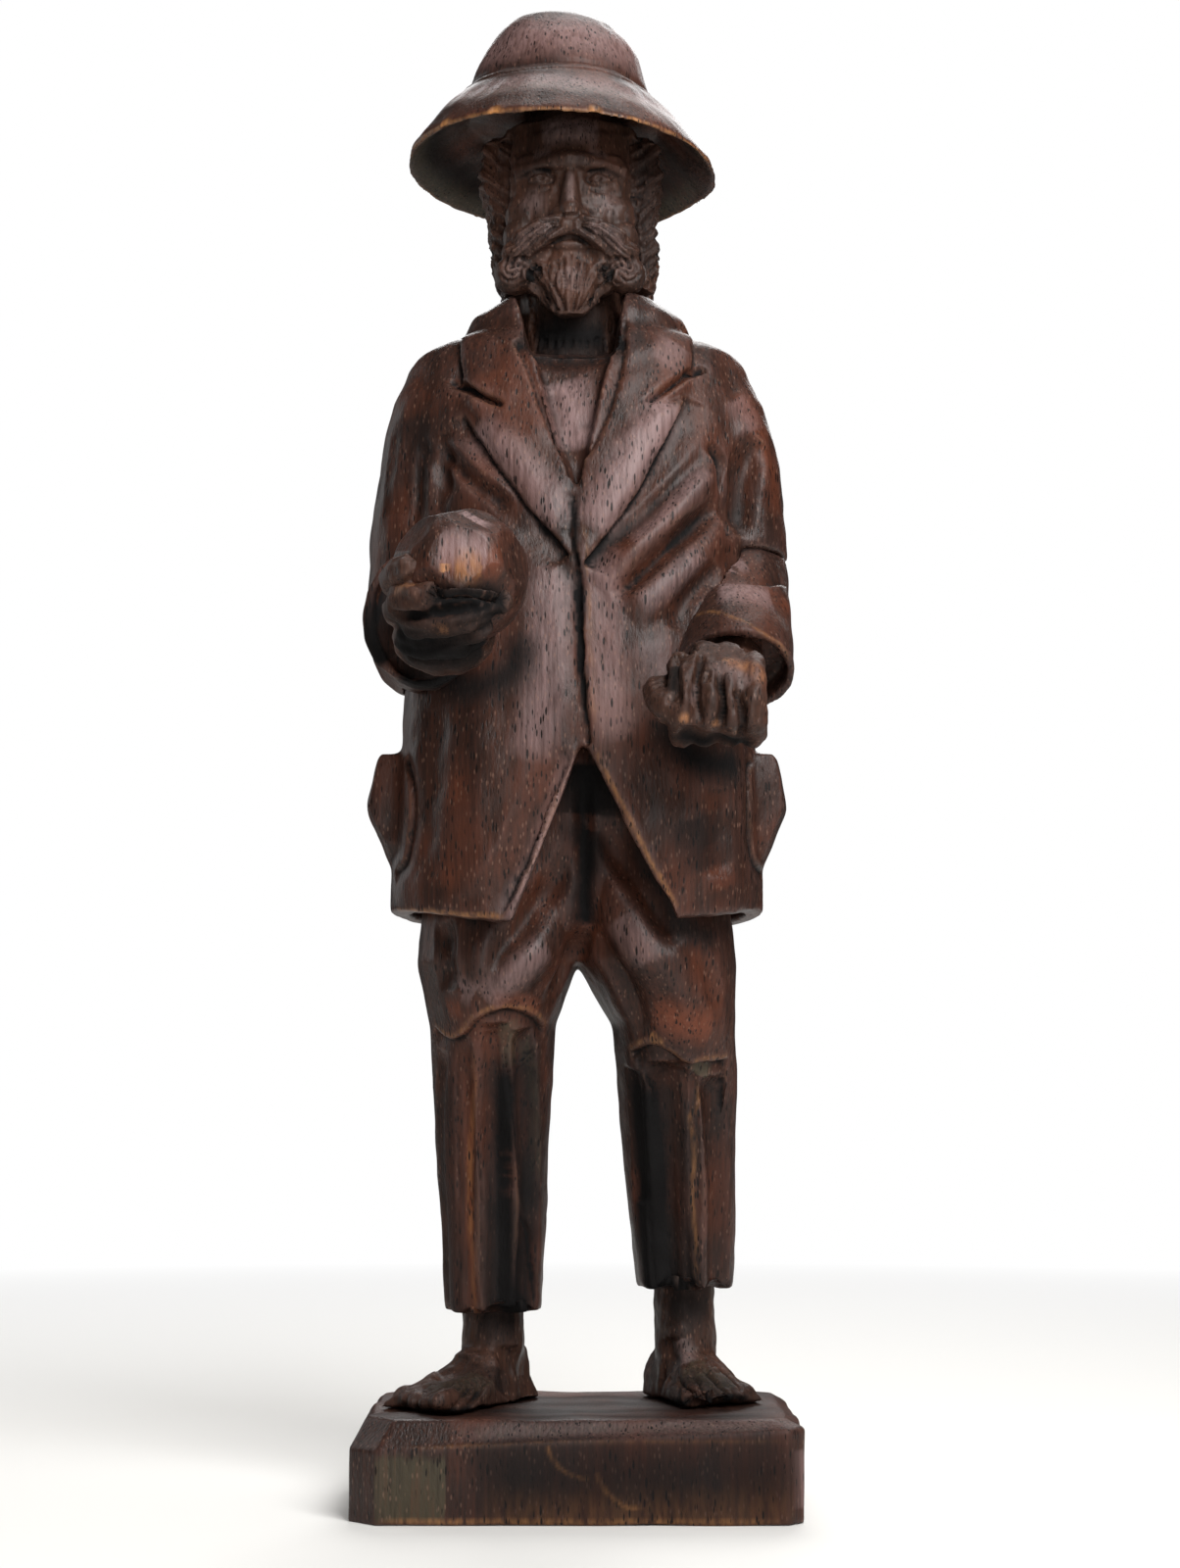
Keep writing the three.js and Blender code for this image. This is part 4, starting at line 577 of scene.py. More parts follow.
# Gouged flutes down the shins and calves, then fine cuts between them
carve(trousers, [
    ([(-55, -7, 175), (-54, 2, 124), (-50, 7, 36)], 5, 2.6),
    ([(-45, -19, 179), (-43, -9, 125), (-41, -7, 36)], 4.5, 2.4),
    ([(-32, -25, 184), (-31, -12, 125), (-29, -9, 36)], 7, 4.8),
    ([(-20, -19, 182), (-18, -5, 124), (-20, -3, 36)], 7, 4.4),
    ([(21, -5, 167), (23, 1, 143), (24, 5, 112)], 5, 2.0),
    ([(34, -15, 169), (35, -4, 124), (37, 1, 40)], 9, 5.6),
    ([(45, -13, 166), (46, -5, 124), (46, 0, 40)], 3.5, 1.8),
    ([(55, -7, 164), (56, 1, 124), (58, 8, 40)], 7, 4.0),
    ([(-52, 30, 150), (-48, 34, 110), (-44, 34, 60)], 7, 1.8),
    ([(-34, 40, 150), (-32, 40, 110), (-32, 38, 60)], 7, 1.6),
    ([(32, 44, 150), (36, 44, 110), (38, 44, 66)], 7, 1.8),
    ([(54, 38, 150), (54, 42, 110), (53, 42, 66)], 7, 1.6),
], taper=0.06)
carve(trousers, [
    ([(-28, -22, 177), (-24, -11, 147), (-19, -5, 113), (-16, 3, 72)], 1.6, 1.4),
    ([(-47, -18, 178), (-46, -7, 124), (-46, -4, 70)], 1.4, 0.8),
    ([(-38, -25, 184), (-37, -12, 125), (-37, -8, 70)], 1.4, 0.8),
    ([(24, -9, 168), (27, 0, 124), (30, 5, 78)], 1.6, 1.0),
], cut="vee", taper=0.08)
rough(trousers, 28, 0.4, 3)
rough(trousers, 9, 0.14, 13)
knee_patch = [
    ([(30, -20, 190), (44, -20, 184), (54, -16, 182)], 12, 1.0),
    ([(-45, -24, 190), (-52, -18, 187)], 8, 0.8),
    ([(-34, -27, 192), (-22, -24, 192), (-14, -15, 188)], 6, 0.7),
]
orange_strip = [([(-44, -20, 176), (-42, -9, 125), (-40, -7, 62)], 4, 1.0)]
bare_lines = [
    ([(-44, -20, 174), (-42, -9, 125), (-40, -7, 70)], 2.4, 0.28),
    ([(46, -13, 160), (46, -5, 124), (46, 0, 70)], 1.6, 0.4),
]
bare_lines += [([(x, y, z + 2) for x, y, z in arch], 1.6, 0.3) for arch in (right_arch, left_arch)]
bare_lines += [([(28, -18, 180), (33, -20, 174)], 3, 0.5)]
knot = [(50, -12, 167), (49, -12, 162)]
shin = [
    ([(-27, -22, 185), (-24, -16, 165)], 8, 0.55),
    ([(-20, -14, 180), (-16, -6, 150), (-15, -2, 120)], 5, 0.5),
]
# A darker stain with painted shade on the shins and calves, in the flutes, in the fork and beside the thigh
# rolls; the knot is lighter
stain_and_shade = [
    ([(-31, -22, 176), (-30, -10, 124), (-28, -7, 50)], 9, 0.75),
    ([(-19, -16, 182), (-17, -4, 124), (-19, -2, 50)], 10, 0.7),
    ([(31, -14, 168), (33, -3, 124), (35, 2, 40)], 14, 1.0),
    ([(20, -4, 168), (24, 2, 124), (28, 6, 60)], 9, 0.8),
    ([(-52, -8, 170), (-50, 0, 112), (-47, 3, 45)], 9, 0.6),
    ([(56, -4, 162), (57, 3, 112), (58, 8, 45)], 9, 0.35),
    ([(42, -12, 158), (43, -4, 112), (43, 0, 45)], 5, 0.6),
    ([(-26, -18, 172), (-25, -7, 120), (-25, -4, 40)], 15, 0.4),
    ([(-48, -17, 174), (-47, -7, 124), (-45, -4, 45)], 6, 0.35),
    ([(-38, -22, 178), (-37, -10, 124), (-36, -7, 45)], 6, 0.35),
    ([(3, -30, 286), (3, -27, 262)], 26, 1.0),
    ([(3, -27, 262), (3, -23, 240), (3, -20, 218)], 10, 1.0),
    (knot, 6.5, -1.2),
    ([(-24, -32, 250), (-28, -32, 236), (-46, -30, 222)], 9, 0.8),
    ([(16, -30, 258), (34, -32, 232), (46, -30, 218), (60, -20, 218)], 9, 0.8),
]
thigh_shine = [
    ([(-46, -25, 197), (-39, -27, 194)], 7, 0.5),
    ([(-12, -25, 214), (-27, -30, 199), (-37, -28, 191)], 9, 0.5),
    ([(16, -28, 224), (30, -30, 206)], 9, 0.4),
]
paint_wear_dirt_and_light(trousers, worn=bare_lines, red=knee_patch + orange_strip, grey=[(knot, 6.5, 1.4)] + shin,
        grime_and_shade=stain_and_shade, faded_and_sheen=thigh_shine)
finish(trousers, coat_wood)

# Coat: body, upper arms, collar and lapels in one block, hollowed below for the seat of the trousers, with a
# skirt cut away at the front. Chest sunk inside the lapels; folds run from the arms down across the front.
coat = block("coat", 1.1, 30)
right_lapel = [
    (-45, -30, 425), (-40, -34, 415), (-34, -36, 407), (-26, -39, 394), (-17, -42, 381), (-9, -44, 371),
    (-3, -47, 362),
]
left_lapel = [
    (43, -30, 433), (39, -33, 422), (35, -35, 413), (29, -38, 400), (20, -41, 384), (10, -44, 370),
    (2, -46, 359),
]
right_roll = [(-26, -29, 456), (-19, -35, 438), (-13, -39, 421), (-7, -41, 407), (-2, -43, 394)]
left_roll = [(20, -24, 466), (19, -32, 447), (15, -37, 429), (9, -40, 412), (1, -40, 396)]
closing = [(-1, -44, 390), (-1, -47, 365), (1, -46, 342), (2, -48, 319), (3, -51, 298), (4, -51, 286)]
closing_edge = [(3, -45, 379), (4, -46, 358), (5, -48, 334), (6, -50, 311), (7, -51, 295)]
right_front = [
    (-1, -51, 286), (-4, -51, 277), (-8, -50, 264), (-15, -49, 247), (-25, -47, 229), (-29, -46, 220),
]
left_front = [(7, -51, 286), (19, -50, 262), (30, -47, 241), (39, -44, 225)]
carve(coat, [
    # Swelling lapels, the sunk chest and the neck
    ([(-37, -34, 420), (-25, -38, 404), (-13, -42, 388), (-5, -45, 371)], 11, -1.6),
    ([(37, -33, 428), (27, -37, 411), (15, -41, 391), (4, -45, 372)], 12, -1.6),
    ([(-10, -34, 436), (-6, -36, 418), (-2, -38, 404)], 9, 1.2),
    ([(-24, -26, 458), (-3, -30, 453), (19, -26, 458)], 9, 3.0),
    # Folds and edges that stand out on the front
    ([(56, -28, 408), (49, -33, 396), (39, -38, 382), (27, -42, 371), (16, -45, 360),
      (7, -47, 350)], 9, -2.8),
    ([(60, -26, 380), (49, -35, 366), (37, -42, 354), (27, -45, 345), (19, -47, 338)], 9, -2.6),
    ([(-52, -29, 418), (-42, -34, 404), (-32, -38, 393), (-24, -41, 386)], 7, -1.8),
    ([(-34, -37, 403), (-23, -41, 386), (-13, -43, 374)], 7, -1.2),
    ([(-37, -46, 304), (-37, -47, 277), (-37, -46, 251), (-38, -44, 228)], 15, -1.5),
    (left_front, 5, -1.0),
    # Hollows between the folds, by the arms and on the skirt
    ([(52, -30, 408), (43, -35, 397), (32, -39, 385), (22, -43, 374), (13, -44, 366)], 6, 2.4),
    ([(60, -26, 390), (49, -34, 381), (39, -39, 371), (29, -43, 360), (20, -46, 351),
      (13, -47, 347)], 6, 4.4),
    ([(56, -30, 362), (47, -38, 352), (40, -42, 341), (37, -44, 333)], 7, 3.2),
    ([(-56, -27, 413), (-48, -32, 404), (-40, -36, 395), (-32, -39, 388), (-26, -41, 382)], 5, 3.0),
    ([(-62, -22, 415), (-56, -28, 404), (-48, -34, 390)], 5, 1.6),
    ([(73, -17, 419), (69, -20, 408), (66, -21, 396), (64, -21, 384), (64, -21, 376)], 9, 5.0),
    ([(-53, -28, 418), (-53, -29, 405), (-54, -30, 393), (-55, -30, 383)], 6, 2.4),
    ([(-54, -38, 305), (-56, -37, 282), (-58, -36, 260), (-60, -34, 237)], 10, 2.2),
    ([(55, -38, 274), (55, -38, 255), (54, -38, 237)], 9, 1.8),
    ([(50, -17, 458), (60, -18, 447), (68, -18, 433), (71, -19, 423)], 8, 1.0),
    # Folds on the back
    ([(-40, 46, 420), (-20, 50, 400), (-8, 51, 375)], 8, 1.8),
    ([(40, 46, 420), (20, 50, 400), (8, 51, 375)], 8, 1.8),
    ([(-60, 38, 380), (-40, 48, 360), (-25, 51, 335)], 8, 2.0),
    ([(60, 38, 385), (40, 48, 362), (22, 51, 335)], 8, 2.0),
], cut="soft")
# Creases on the upper arms, and the seam down the back
carve(coat, [
    ([(-73, -17, 421), (-75, -17, 405), (-75, -18, 384)], 4, 1.0),
    ([(-67, -20, 424), (-69, -20, 404), (-70, -20, 384)], 4, 1.2),
    ([(-62, -23, 419), (-62, -23, 399), (-63, -21, 381)], 4, 1.0),
    ([(77, -11, 423), (80, -12, 406), (82, -9, 387)], 5, 1.0),
    ([(0, 52, 330), (0, 51, 280), (0, 50, 222)], 4, 1.2),
])
# Edges that stand up: lapels, collar, closing and pocket flaps
carve(coat, [
    (right_lapel, 12, 3.0),
    (left_lapel[::-1], 12, 3.0),
    (right_roll[::-1], 6, 1.8),
    (left_roll, 6, 1.8),
    ([(-44, -14, 466), (-47, -22, 452), (-46, -27, 438)], 8, 2.4),
    ([(46, -26, 443), (47, -22, 456), (45, -13, 470)], 8, 2.4),
    (closing, 9, 2.0),
    ([(-72, -16, 243), (-68, -25, 246), (-65, -29, 260), (-65, -28, 276), (-68, -21, 286)], 7, 2.2),
    ([(69, -19, 287), (68, -24, 277), (68, -25, 261), (70, -19, 246), (75, 1, 244)], 7, 2.2),
], cut="step", taper=0.06)
carve(coat, [(right_front, 15, 4.6)], cut="step", taper=0.35)
# Notches of the lapels, and the deep crease beside the left arm
carve(coat, [
    ([(-52, -25, 440), (-45, -28, 436), (-39, -31, 432), (-28, -36, 425)], 2.4, 4.0),
    ([(52, -24, 447), (45, -27, 442), (37, -33, 435), (27, -36, 426)], 2.4, 4.0),
    ([(52, -30, 413), (57, -27, 406), (59, -26, 394), (60, -25, 383), (61, -24, 374)], 4, 4.2),
], cut="vee", taper=0.2)
carve(coat, [(closing[1:], 2.0, 2.0)], cut="vee", taper=0.03)
rough(coat, 30, 0.45, 4)
rough(coat, 10, 0.14, 14)
edge_wear = [
    (left_front, 1.4, 0.5),
    (closing_edge, 1.4, 0.2),
    ([(-72, -17, 227), (-56, -36, 224), (-40, -43, 223), (-26, -46, 223)], 2.0, 0.5),
]
stain_red = [
    ([(65, -17, 440), (74, -16, 421), (79, -13, 406), (81, -11, 386)], 10, 0.7),
    ([(-48, -42, 281), (-44, -44, 255), (-52, -39, 233)], 12, 0.5),
    ([(49, -41, 251), (57, -36, 233)], 11, 0.5),
]
# Painted shadows cast on the coat by the ball hand and the fist
shadow_under_hands = [
    ([(34, -46, 302), (40, -46, 288), (52, -41, 282), (66, -30, 284)], 14, 1.0),
    ([(-60, -32, 330), (-44, -42, 312), (-26, -46, 316), (-20, -47, 334)], 12, 0.9),
]
neck_shade = [([(-24, -26, 458), (-3, -30, 455), (19, -26, 458)], 9, 0.8)]
seams = [(closing, 2.2, 1.0), (right_lapel, 1.4, 0.6), (left_lapel, 1.4, 0.6)]
shaded = [
    ([(-66, -22, 428), (-66, -22, 396)], 16, 0.45),
    ([(-40, -28, 454), (-36, -32, 440)], 9, 0.4),
    ([(44, -44, 262), (52, -40, 240)], 18, 0.7),
    ([(-42, -44, 268), (-46, -42, 240)], 14, 0.2),
]
# A faded bloom with painted sheen on the lapels, chest, collar, closing, belly, folds and the front edge
bloom_and_sheen = [
    ([(-40, -33, 420), (-27, -38, 406), (-14, -42, 390), (-5, -45, 374)], 12, 0.65),
    ([(38, -33, 430), (27, -37, 411), (15, -41, 391), (5, -45, 372)], 13, 0.95),
    ([(40, -26, 456), (34, -32, 444)], 10, 0.5),
    ([(-6, -34, 442), (-3, -36, 424), (-1, -38, 408)], 14, 1.0),
    ([(9, -46, 368), (11, -48, 340), (12, -50, 312), (16, -50, 288)], 11, 0.6),
    ([(-9, -47, 362), (-10, -49, 336), (-12, -50, 310), (-18, -49, 280)], 13, 0.7),
    ([(64, -20, 436), (72, -18, 420)], 10, 0.4),
    ([(28, -47, 330), (34, -47, 315)], 12, 0.35),
    (right_front, 7, 0.6),
    ([(52, -31, 402), (38, -38, 383), (22, -43, 366)], 7, 0.5),
    ([(50, -35, 367), (37, -42, 354), (24, -46, 342)], 7, 0.5),
]
paint_wear_dirt_and_light(coat, worn=edge_wear, red=stain_red, grime_and_shade=seams + shadow_under_hands + neck_shade + shaded, faded_and_sheen=bloom_and_sheen)
finish(coat, coat_wood)

# Sleeves: the two forearms of the coat, each its own block of the same wood with an open cuff, glued and
# pegged on at the elbow.
right_sleeve = block("right_sleeve", 0.9, 20)
left_sleeve = block("left_sleeve", 0.9, 20)
carve(left_sleeve, [
    ([(85, -15, 358), (76, -29, 355), (66, -36, 354), (56, -35, 354), (47, -36, 353)], 12, 2.2),
], cut="step", taper=0.1)
cuff_edge = [(42, -41, 341), (52, -47, 340), (61, -54, 336), (69, -57, 331), (77, -56, 327), (82, -50, 318)]
for sleeve, seed in ((right_sleeve, 5), (left_sleeve, 15)):
    rough(sleeve, 20, 0.45, seed)
shadow_side = [
    ([(-80, -40, 352), (-78, -56, 332), (-72, -66, 312)], 22, 1.0),
    ([(-70, -66, 308), (-50, -76, 304), (-34, -70, 310)], 18, 1.0),
]
paint_wear_dirt_and_light(right_sleeve, grime_and_shade=shadow_side)
# A faded bloom with painted sheen on the folds of the left forearm
fold_bloom_and_sheen = [
    ([(54, -38, 350), (66, -40, 350), (76, -34, 346)], 12, 0.7),
    ([(56, -32, 366), (68, -26, 367)], 7, 0.6),
]
paint_wear_dirt_and_light(left_sleeve, worn=[(cuff_edge, 1.6, 0.25)], red=[([(76, -30, 346), (82, -20, 342)], 8, 0.7)],
        grime_and_shade=[([(60, -22, 373), (69, -18, 375), (79, -12, 376)], 3, 0.8)], faded_and_sheen=fold_bloom_and_sheen)
for sleeve in (right_sleeve, left_sleeve):
    finish(sleeve, coat_wood)

# Ball: a lump of the coat's wood, cut round with broad knife flats, pegged in the palm and rubbed bare on
# its front.


def pare(piece, middle, halves, flats, depth):
    """Slices flats off a rounded lump, each facing its own way, as deep as given at its middle."""
    places, _ = skin_of(piece.data)
    for way in flats:
        way = np.array(way, float) / np.linalg.norm(way)
        reach = np.linalg.norm(np.array(halves) * way) - depth
        proud = np.clip((places - np.array(middle)) @ way - reach, 0, None)
        places -= proud[:, None] * way
    put_back(piece, places)


ball = block("ball", 0.7, 3, [((-42, -104.5, 341), (25, 23, 25))])
pare(ball, (-42, -104, 341), (26, 24, 26.5), [
    (0.25, -0.62, 0.75), (0.05, -0.98, 0.1), (-0.66, -0.5, 0.56), (0.85, -0.5, 0.2), (-0.85, -0.5, -0.1),
    (0.45, -0.8, -0.4), (-0.35, -0.8, -0.45), (0.2, 0.35, 0.9), (-0.6, 0.5, 0.6), (0.8, 0.5, 0.35),
    (0.0, 1.0, 0.0), (-1.0, 0.1, -0.2), (-0.2, -0.25, 0.95),
], 3.0)
rough(ball, 9, 0.15, 6)
chips = [
    ([(-46, -125, 341), (-46, -125, 337)], 2.6, 1.0),
    ([(-44, -126, 340), (-32, -125, 340)], 9, 0.4),
]
# Dust with painted highlights on the front and top facets
dust_and_highlight_top = [
    ([(-50, -122, 347), (-30, -123, 346)], 10, 0.9),
    ([(-37, -118, 358), (-35, -114, 361)], 8, 1.6),
]
# Painted shade over the ball's lower front
paint_wear_dirt_and_light(ball, worn=chips, red=[([(-50, -121, 342), (-38, -123, 342), (-28, -118, 342)], 10, 0.9)],
        grime_and_shade=[([(-62, -108, 330), (-48, -124, 328), (-36, -125, 328), (-24, -117, 330)], 8, 1.0)],
        faded_and_sheen=dust_and_highlight_top)
finish(ball, coat_wood)

# Hands: each carved from its own darker block and pegged by the wrist inside the cuff. One is cupped round
# the ball, the other closed, with the fingers cut apart by plain grooves and rubbed on the knuckles.
right_hand = block("right_hand", 0.7, 3)
ease(right_hand, 60, where=((-42, -116, 318), 20))
# The palm hollowed under the ball, ridges left for the fingers, and the cuts between them
carve(right_hand, [
    ([(-52, -125, 331), (-42, -128, 330), (-32, -127, 331), (-24, -118, 332)], 12, 8.0),
    ([(-68, -109, 325), (-55, -120, 320), (-40, -124, 322), (-28, -124, 323), (-20, -114, 322)], 3, -1.6),
    ([(-67, -96, 321), (-52, -110, 311), (-41, -115, 315), (-30, -119, 318), (-22, -114, 318)], 3, -1.4),
    ([(-69, -106, 335), (-61, -123, 333), (-54, -127, 328)], 3, -1.4),
], cut="soft", taper=0.2)
carve(right_hand, [
    ([(-67, -114, 327), (-52, -122, 324), (-38, -126, 325), (-29, -126, 327)], 2.4, 2.4),
    ([(-66, -104, 322), (-52, -114, 316), (-40, -119, 318), (-26, -118, 321)], 2.2, 1.8),
    ([(-62, -104, 314), (-49, -106, 309), (-36, -106, 312), (-24, -100, 316)], 2.2, 1.8),
], cut="vee", taper=0.15)
left_hand = block("left_hand", 0.65, 3)
ease(left_hand, 120, where=((54, -92, 304), 19))
ease(left_hand, 120, where=((53, -82, 319), 13))
# The back of the hand and ridges left for the fingers, hollows at the thumb and finger ends, and the cuts
carve(left_hand, [
    ([(42, -78, 322), (52, -76, 325), (62, -74, 322)], 14, -5.0),
    ([(45, -82, 318), (42, -94, 308), (40, -98, 298), (40, -97, 289)], 3.2, -1.2),
    ([(49, -90, 313), (49, -97, 302), (50, -96, 288)], 3.4, -1.2),
    ([(56, -94, 309), (56, -97, 297), (57, -93, 286)], 3.2, -1.0),
    ([(64, -95, 303), (64, -96, 293), (63, -90, 285)], 3.2, -1.0),
], cut="soft", taper=0.2)
carve(left_hand, [
    ([(39, -84, 317), (36, -94, 306), (36, -97, 294)], 3.6, 3.4),
    ([(48, -95, 310), (48, -97, 302)], 2.2, 1.4),
    ([(36, -94, 286), (47, -90, 283), (60, -84, 282)], 4, 2.0),
], taper=0.2)
carve(left_hand, [
    ([(46, -86, 315), (44, -95, 304), (44, -96, 295), (46, -96, 287)], 2.0, 2.4),
    ([(52, -93, 307), (53, -97, 297), (53, -94, 286)], 2.0, 2.4),
    ([(58, -97, 302), (60, -95, 292), (60, -88, 284)], 2.0, 2.4),
], cut="vee", taper=0.25)
for hand, seed in ((right_hand, 7), (left_hand, 17)):
    rough(hand, 9, 0.3, seed)
    rough(hand, 4, 0.15, seed + 1)
left_knuckles = [
    ([(52, -92, 314), (59, -93, 313), (65, -94, 309), (68, -94, 303)], 4, 0.5),
    ([(39, -97, 290)], 3, 0.8),
    ([(51, -96, 288)], 2.5, 0.8),
    ([(58, -92, 286)], 2.0, 0.5),
]
# Painted shade over the underside of the fist and beside the thumb
shadow_under_fist = [
    ([(36, -92, 285), (50, -89, 281), (66, -84, 282)], 7, 1.0),
    ([(37, -88, 312), (35, -95, 300)], 4, 0.9),
]
# Painted highlights on the backs of the fingers
finger_backs = [
    ([(43, -94, 304), (42, -97, 294)], 3, 0.6),
    ([(49, -93, 311), (57, -96, 308), (65, -95, 302)], 6, 0.5),
]
paint_wear_dirt_and_light(left_hand, worn=left_knuckles, red=[([(54, -92, 314), (64, -93, 309), (68, -92, 300)], 8, 0.9)],
        grime_and_shade=shadow_under_fist, faded_and_sheen=finger_backs)
right_knuckles = [
    ([(-64, -117, 333), (-57, -124, 331)], 3, 0.7),
    ([(-50, -121, 318), (-44, -121, 319)], 3.5, 0.6),
]
# Painted shade under the ball and over the lower half of the hand
shadow_under_ball = [
    ([(-52, -122, 329), (-38, -124, 328), (-24, -116, 329)], 12, 1.0),
    ([(-68, -100, 320), (-46, -112, 309), (-22, -104, 314)], 26, 1.0),
]
paint_wear_dirt_and_light(right_hand, worn=right_knuckles, grime_and_shade=shadow_under_ball)
for hand in (right_hand, left_hand):
    finish(hand, skin_wood)

# Head: neck, face, long hair and beard in one darker block, pegged down into the coat. The face is plain and
# calm on even proportions; hair and beard are cut with a small vee tool into curling strands.
MIDDLE_X = -3


def both_sides(points):
    """The same line on both sides of the face, given by its distance from the middle."""
    return [[(MIDDLE_X + side * x, y, z) for x, y, z in points] for side in (-1, 1)]


def on_both(points, width, amount):
    """The same stroke on both sides of the face."""
    return [(line, width, amount) for line in both_sides(points)]


# Rounded forms of the plain face, the moustache, the beard and the hair: the middle and half sizes of each
forms = [
    ((0, -10, 544), (22, 10.5, 14)), ((0, -18, 533), (6, 5, 5)), ((0, -28, 510), (4.2, 4.6, 4)),
    ((11, -16.5, 535), (11, 5.2, 3.6)), ((12, -13, 527.5), (9.5, 6.6, 7)),
    ((12, -16.5, 526), (6.8, 5.6, 4.4)), ((16, -11, 512), (11, 9.5, 13)),
    ((4.8, -25, 509), (3.4, 4, 3)), ((0, -26, 504), (6, 5, 5)), ((0, -24.6, 496), (8, 3.6, 2.4)),
    ((12, -19, 493), (7, 6.5, 6)), ((12, -19, 485), (8, 7.5, 8)), ((20, -13, 503), (8, 8, 9)),
    ((8, -28, 502.5), (8, 4.8, 4.2)), ((16, -25.5, 499), (7.5, 5.5, 5)), ((21.5, -22, 494), (6.5, 6, 5.5)),
    ((23, -18, 486), (8, 7.5, 8)), ((21, 16, 474), (12, 14, 18)),
]
lumps = [(spot, halves) for centre, halves in forms for (spot,) in both_sides([centre])]
head = block("head", 0.6, 6, lumps)
ease(head, 12, where=((MIDDLE_X, -20, 528), 16))
lids = on_both([(4.6, -20, 525.4), (12, -22, 528.6), (19.4, -19, 525.2)], 0.9, 0.9)
lids += on_both([(4.6, -20, 525.4), (12, -22, 523.4), (19.4, -19, 525.2)], 0.9, 0.8)
lids += on_both([(4.4, -21, 529), (12, -20, 532), (20, -17, 528.6)], 1.1, 1.0)
lids += on_both([(6, -20, 521.6), (12, -20, 519.8), (18, -19, 521)], 1.0, 0.7)
nostrils = on_both([(8.6, -25, 513), (9.2, -24.5, 509.5), (7.4, -26, 506)], 1.1, 1.0)
mouth = [([(-13, -25, 498.6), (-3, -27.5, 499.2), (7, -25, 498.6)], 1.3, 1.6)]
carve(head, lids + nostrils + mouth, cut="vee", taper=0.2)
carve(head, on_both([(12, -22, 526)], 1.5, 0.8) + on_both([(3.4, -31, 506.8)], 1.2, 0.8))

# Whiskers of the moustache, a curl at each end of it, and the strands of the beard
strands = []
for row in (-5.4, -3.6, -1.8, 0.0, 1.8, 3.6, 5.4):
    wave = 0.9 * math.sin(2 * row)
    whisker = [(1.5, -32, 504 + 0.35 * row), (8, -33, 502 + 0.7 * row + wave),
               (15 + 0.2 * row, -30, 498 + row - wave), (21 + 0.7 * row, -27, 493 + 0.9 * row),
               (27 + 0.5 * row, -22, 490 + 1.1 * row)]
    strands += on_both(whisker, 1.2, 1.3)
for start in (0.0, 1.6, 3.1, 4.7):
    turns = [(8.5 - 1.8 * step, start - 0.9 * step) for step in range(5)]
    curl = [(22 + radius * math.cos(turn), -25, 486 + radius * math.sin(turn)) for radius, turn in turns]
    strands += on_both(curl, 1.2, 1.5)
for k in range(-7, 8):
    bend = 1.3 * math.sin(1.9 * k + 1)
    strands.append(([(MIDDLE_X + 2.3 * k, -28, 493 - 0.8 * abs(k)), (MIDDLE_X + 2.4 * k + bend, -30, 486),
                     (MIDDLE_X + 2.3 * k - bend, -30, 480), (MIDDLE_X + 1.9 * k + bend, -29, 473),
                     (MIDDLE_X + 1.2 * k, -28, 465)], 1.2, 1.4 if k % 2 else 0.9))
carve(head, strands, cut="vee", taper=0.1)

# Partings beside the beard, and the strands under the chin
partings = both_sides([(14, -24, 490), (14.5, -25, 482), (13, -26, 474), (11, -26, 467)])
carve(head, [(line, 3.6, 2.6) for line in partings], taper=0.3)
under_chin = []
for k in range(-5, 6):
    x = MIDDLE_X + 4.4 * k
    under_chin.append(([(x, -18, 474), (MIDDLE_X + 4.2 * k + 1, -18, 466), (x, -16, 456)], 1.4, 1.3))
carve(head, under_chin, cut="vee", taper=0.2)

# Locks that curl back from the face with finer strands in them, and straight ones behind
draw = np.random.default_rng(7)
locks = []
fine_strands = []
for side, drawn_in in ((-1, 6.0), (1, 0.5)):
    for k in range(13):
        z = 560 - 6.2 * k + draw.uniform(-1.2, 1.2)
        x = 31 - drawn_in * (k / 12) ** 2
        slant = draw.uniform(0.85, 1.3)
        curl = [(x - 11, -5, z - 18 * slant), (x - 8, -9, z - 14 * slant), (x - 4, -11, z - 8 * slant),
                (x + 2, -11, z - 3), (x + 7, -7, z + 2), (x + 10, 2, z + 5), (x + 9, 13, z + 5),
                (x + 8, 22, z + 2)]
        for drop, kept, width, depth in (
                (0, locks, 2.2, 2.0), (2.0, fine_strands, 1.0, 0.8), (4.1, fine_strands, 1.0, 0.7)):
            kept.append(([(MIDDLE_X + side * u, v, w - drop) for u, v, w in curl], width, depth))
for k in range(-9, 10):
    turn = math.radians(8.5 * k)
    fall = [(33 + 0.9 * math.sin(1.3 * k + step), 552 - 13 * step) for step in range(6)]
    lock = [(MIDDLE_X + r * math.sin(turn), 18 + 0.85 * r * math.cos(turn), z) for r, z in fall]
    locks.append((lock, 1.6, 1.4))
carve(head, locks, taper=0.2)
carve(head, fine_strands, cut="vee", taper=0.1)
rough(head, 7, 0.2, 8)
rough(head, 3.5, 0.12, 18)
# Painted shade on the neck under the beard, down the hair on the figure's left, in the partings, the eye
# hollows and beside the nostrils
hollows = [
    ([(-24, -12, 464), (-3, -16, 462), (17, -12, 464)], 20, 1.0),
    ([(30, -6, 548), (30, -7, 518), (29, -6, 488)], 12, 0.5),
]
hollows += [(line, 4, 0.35) for line in partings]
hollows += on_both([(5, -19, 530), (12, -19, 531.6), (20, -15, 529)], 2.4, 0.7)
hollows += on_both([(9.5, -23, 512), (8, -25, 506)], 2.4, 0.4)
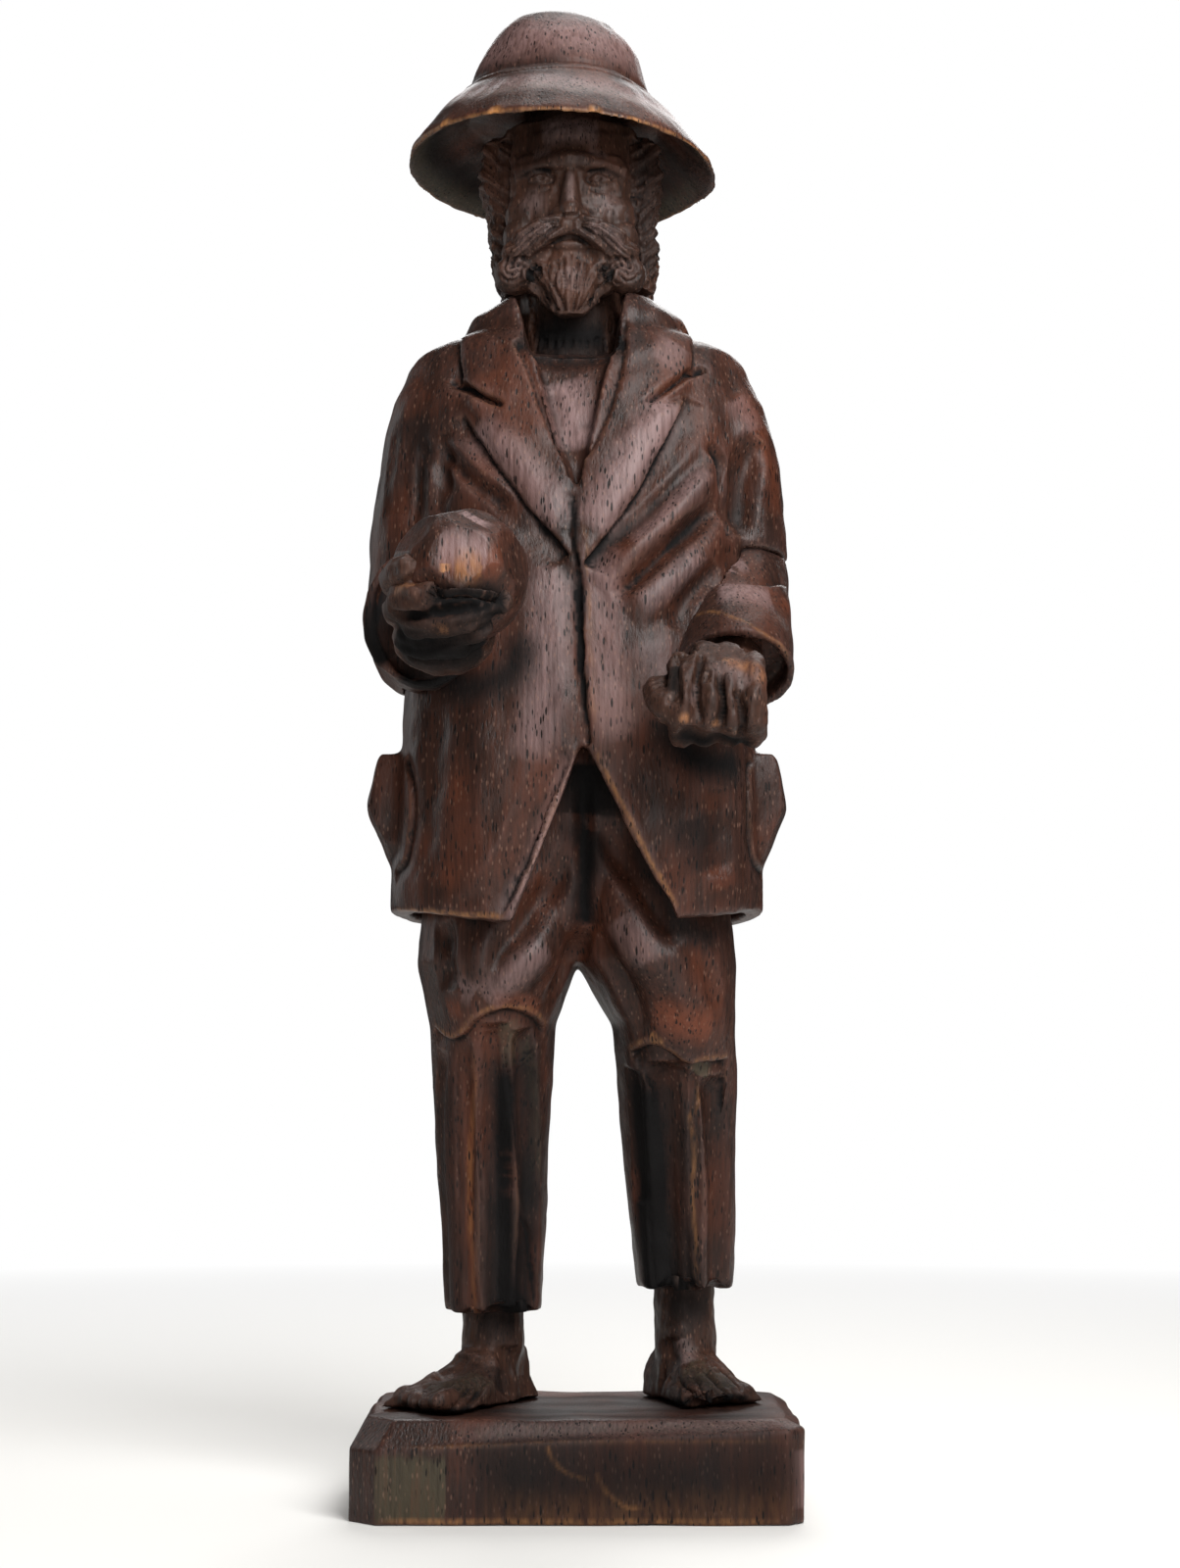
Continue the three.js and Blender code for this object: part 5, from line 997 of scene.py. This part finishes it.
# Painted light on the forehead in the brim's shadow, and painted highlights with rubbing on the beard, nose,
# cheeks, brows, moustache and curls
rubbed = [
    ([(-3, -29, 488), (-3, -30, 476)], 8, 0.5),
    ([(-16, -20, 546), (-3, -22, 547), (10, -20, 546)], 10, 0.8),
    ([(-3, -25, 528), (-3, -32, 511)], 3.2, 0.6),
]
rubbed += on_both([(15, -21, 516)], 8, 0.5)
rubbed += on_both([(6, -22, 535), (16, -20, 536)], 3.5, 0.4)
rubbed += on_both([(6, -32, 503), (15, -30, 499), (22, -26, 494)], 5, 0.45)
rubbed += on_both([(23, -25, 487)], 7, 0.4)
paint_wear_dirt_and_light(head, grime_and_shade=hollows, faded_and_sheen=rubbed)
finish(head, skin_wood)

# Hat: crown and steep brim cut from one block and hollowed below, pegged on the head; a bead where the brim
# starts, and the brim's edge is chipped and rubbed down to the bare wood.
hat = block("hat", 0.9, 30)
HAT_MIDDLE = (-7, 8)
HAT_TILT = math.radians(2.6)


def round_hat(radius, height, start=0, end=360, shift=0):
    """A line round the hat at that radius and height over the floor, tilted as the hat is."""
    turns = [math.radians(a) for a in range(start, end + 1, 10)]
    return [(HAT_MIDDLE[0] + shift + radius * math.cos(a), HAT_MIDDLE[1] + radius * math.sin(a),
             height - radius * math.cos(a) * math.tan(HAT_TILT)) for a in turns]


carve(hat, [(round_hat(42.5, 569, shift=-2), 2.2, -0.6)], cut="soft", taper=0)
carve(hat, [(round_hat(40, 573, shift=-2), 2.0, 0.9)], cut="vee", taper=0)
rough(hat, 26, 0.45, 9)
rough(hat, 9, 0.12, 19)
nicks = [
    ([(-53, -36, 541)], 3, 1.0),
    ([(-33, -51, 542)], 2.5, 0.9),
    ([(7, -54, 541)], 3, 1.1),
    ([(22, -48, 540)], 2.5, 0.9),
]
carve(hat, nicks)
rim_wear = [(points, 4.0, 1.0) for points, _, _ in nicks]
rim_wear += [(round_hat(65, 540, 185, 355), 1.6, 0.45), (round_hat(65, 540, 0, 180), 1.5, 0.4)]
reddened = [(round_hat(64, 541, 190, 350), 5, 0.25), (round_hat(36, 585, 200, 340, shift=-2), 14, 0.4)]
# Painted shade under the brim beside the head; the front half of the brim's top is taken lighter
inside = [(round_hat(46, 541), 12, 0.8), (round_hat(54, 557, 180, 360), 12, -0.5)]
# Grey with painted reflected light under the brim and painted sheen over its top
grey_and_reflected_light = [(round_hat(57, 541), 10, 0.8), (round_hat(55, 556), 9, 0.45)]
# Dust with painted sheen on the front of the crown and of the brim's top
crown_dust_and_sheen = [(round_hat(37, 588, 190, 350, shift=-2), 18, 0.7), (round_hat(53, 558, 190, 350), 11, 0.6)]
paint_wear_dirt_and_light(hat, worn=rim_wear, red=reddened, grime_and_shade=inside, grey=grey_and_reflected_light, faded_and_sheen=crown_dust_and_sheen)
finish(hat, coat_wood)

# Pegs and dowels: plain turned hardwood, unstained, glued into bores in both blocks of each joint, where it
# stays unseen.
peg_wood = stained_wood("plain_peg_hardwood", "#7d5c38", "#a07a4e", "#b08a5c", "#b8966a", "#c9a678", 0.6)
for name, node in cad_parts.items():
    if name.endswith("_peg") or name.endswith("_dowel"):
        node.data.materials.clear()
        node.data.materials.append(peg_wood)
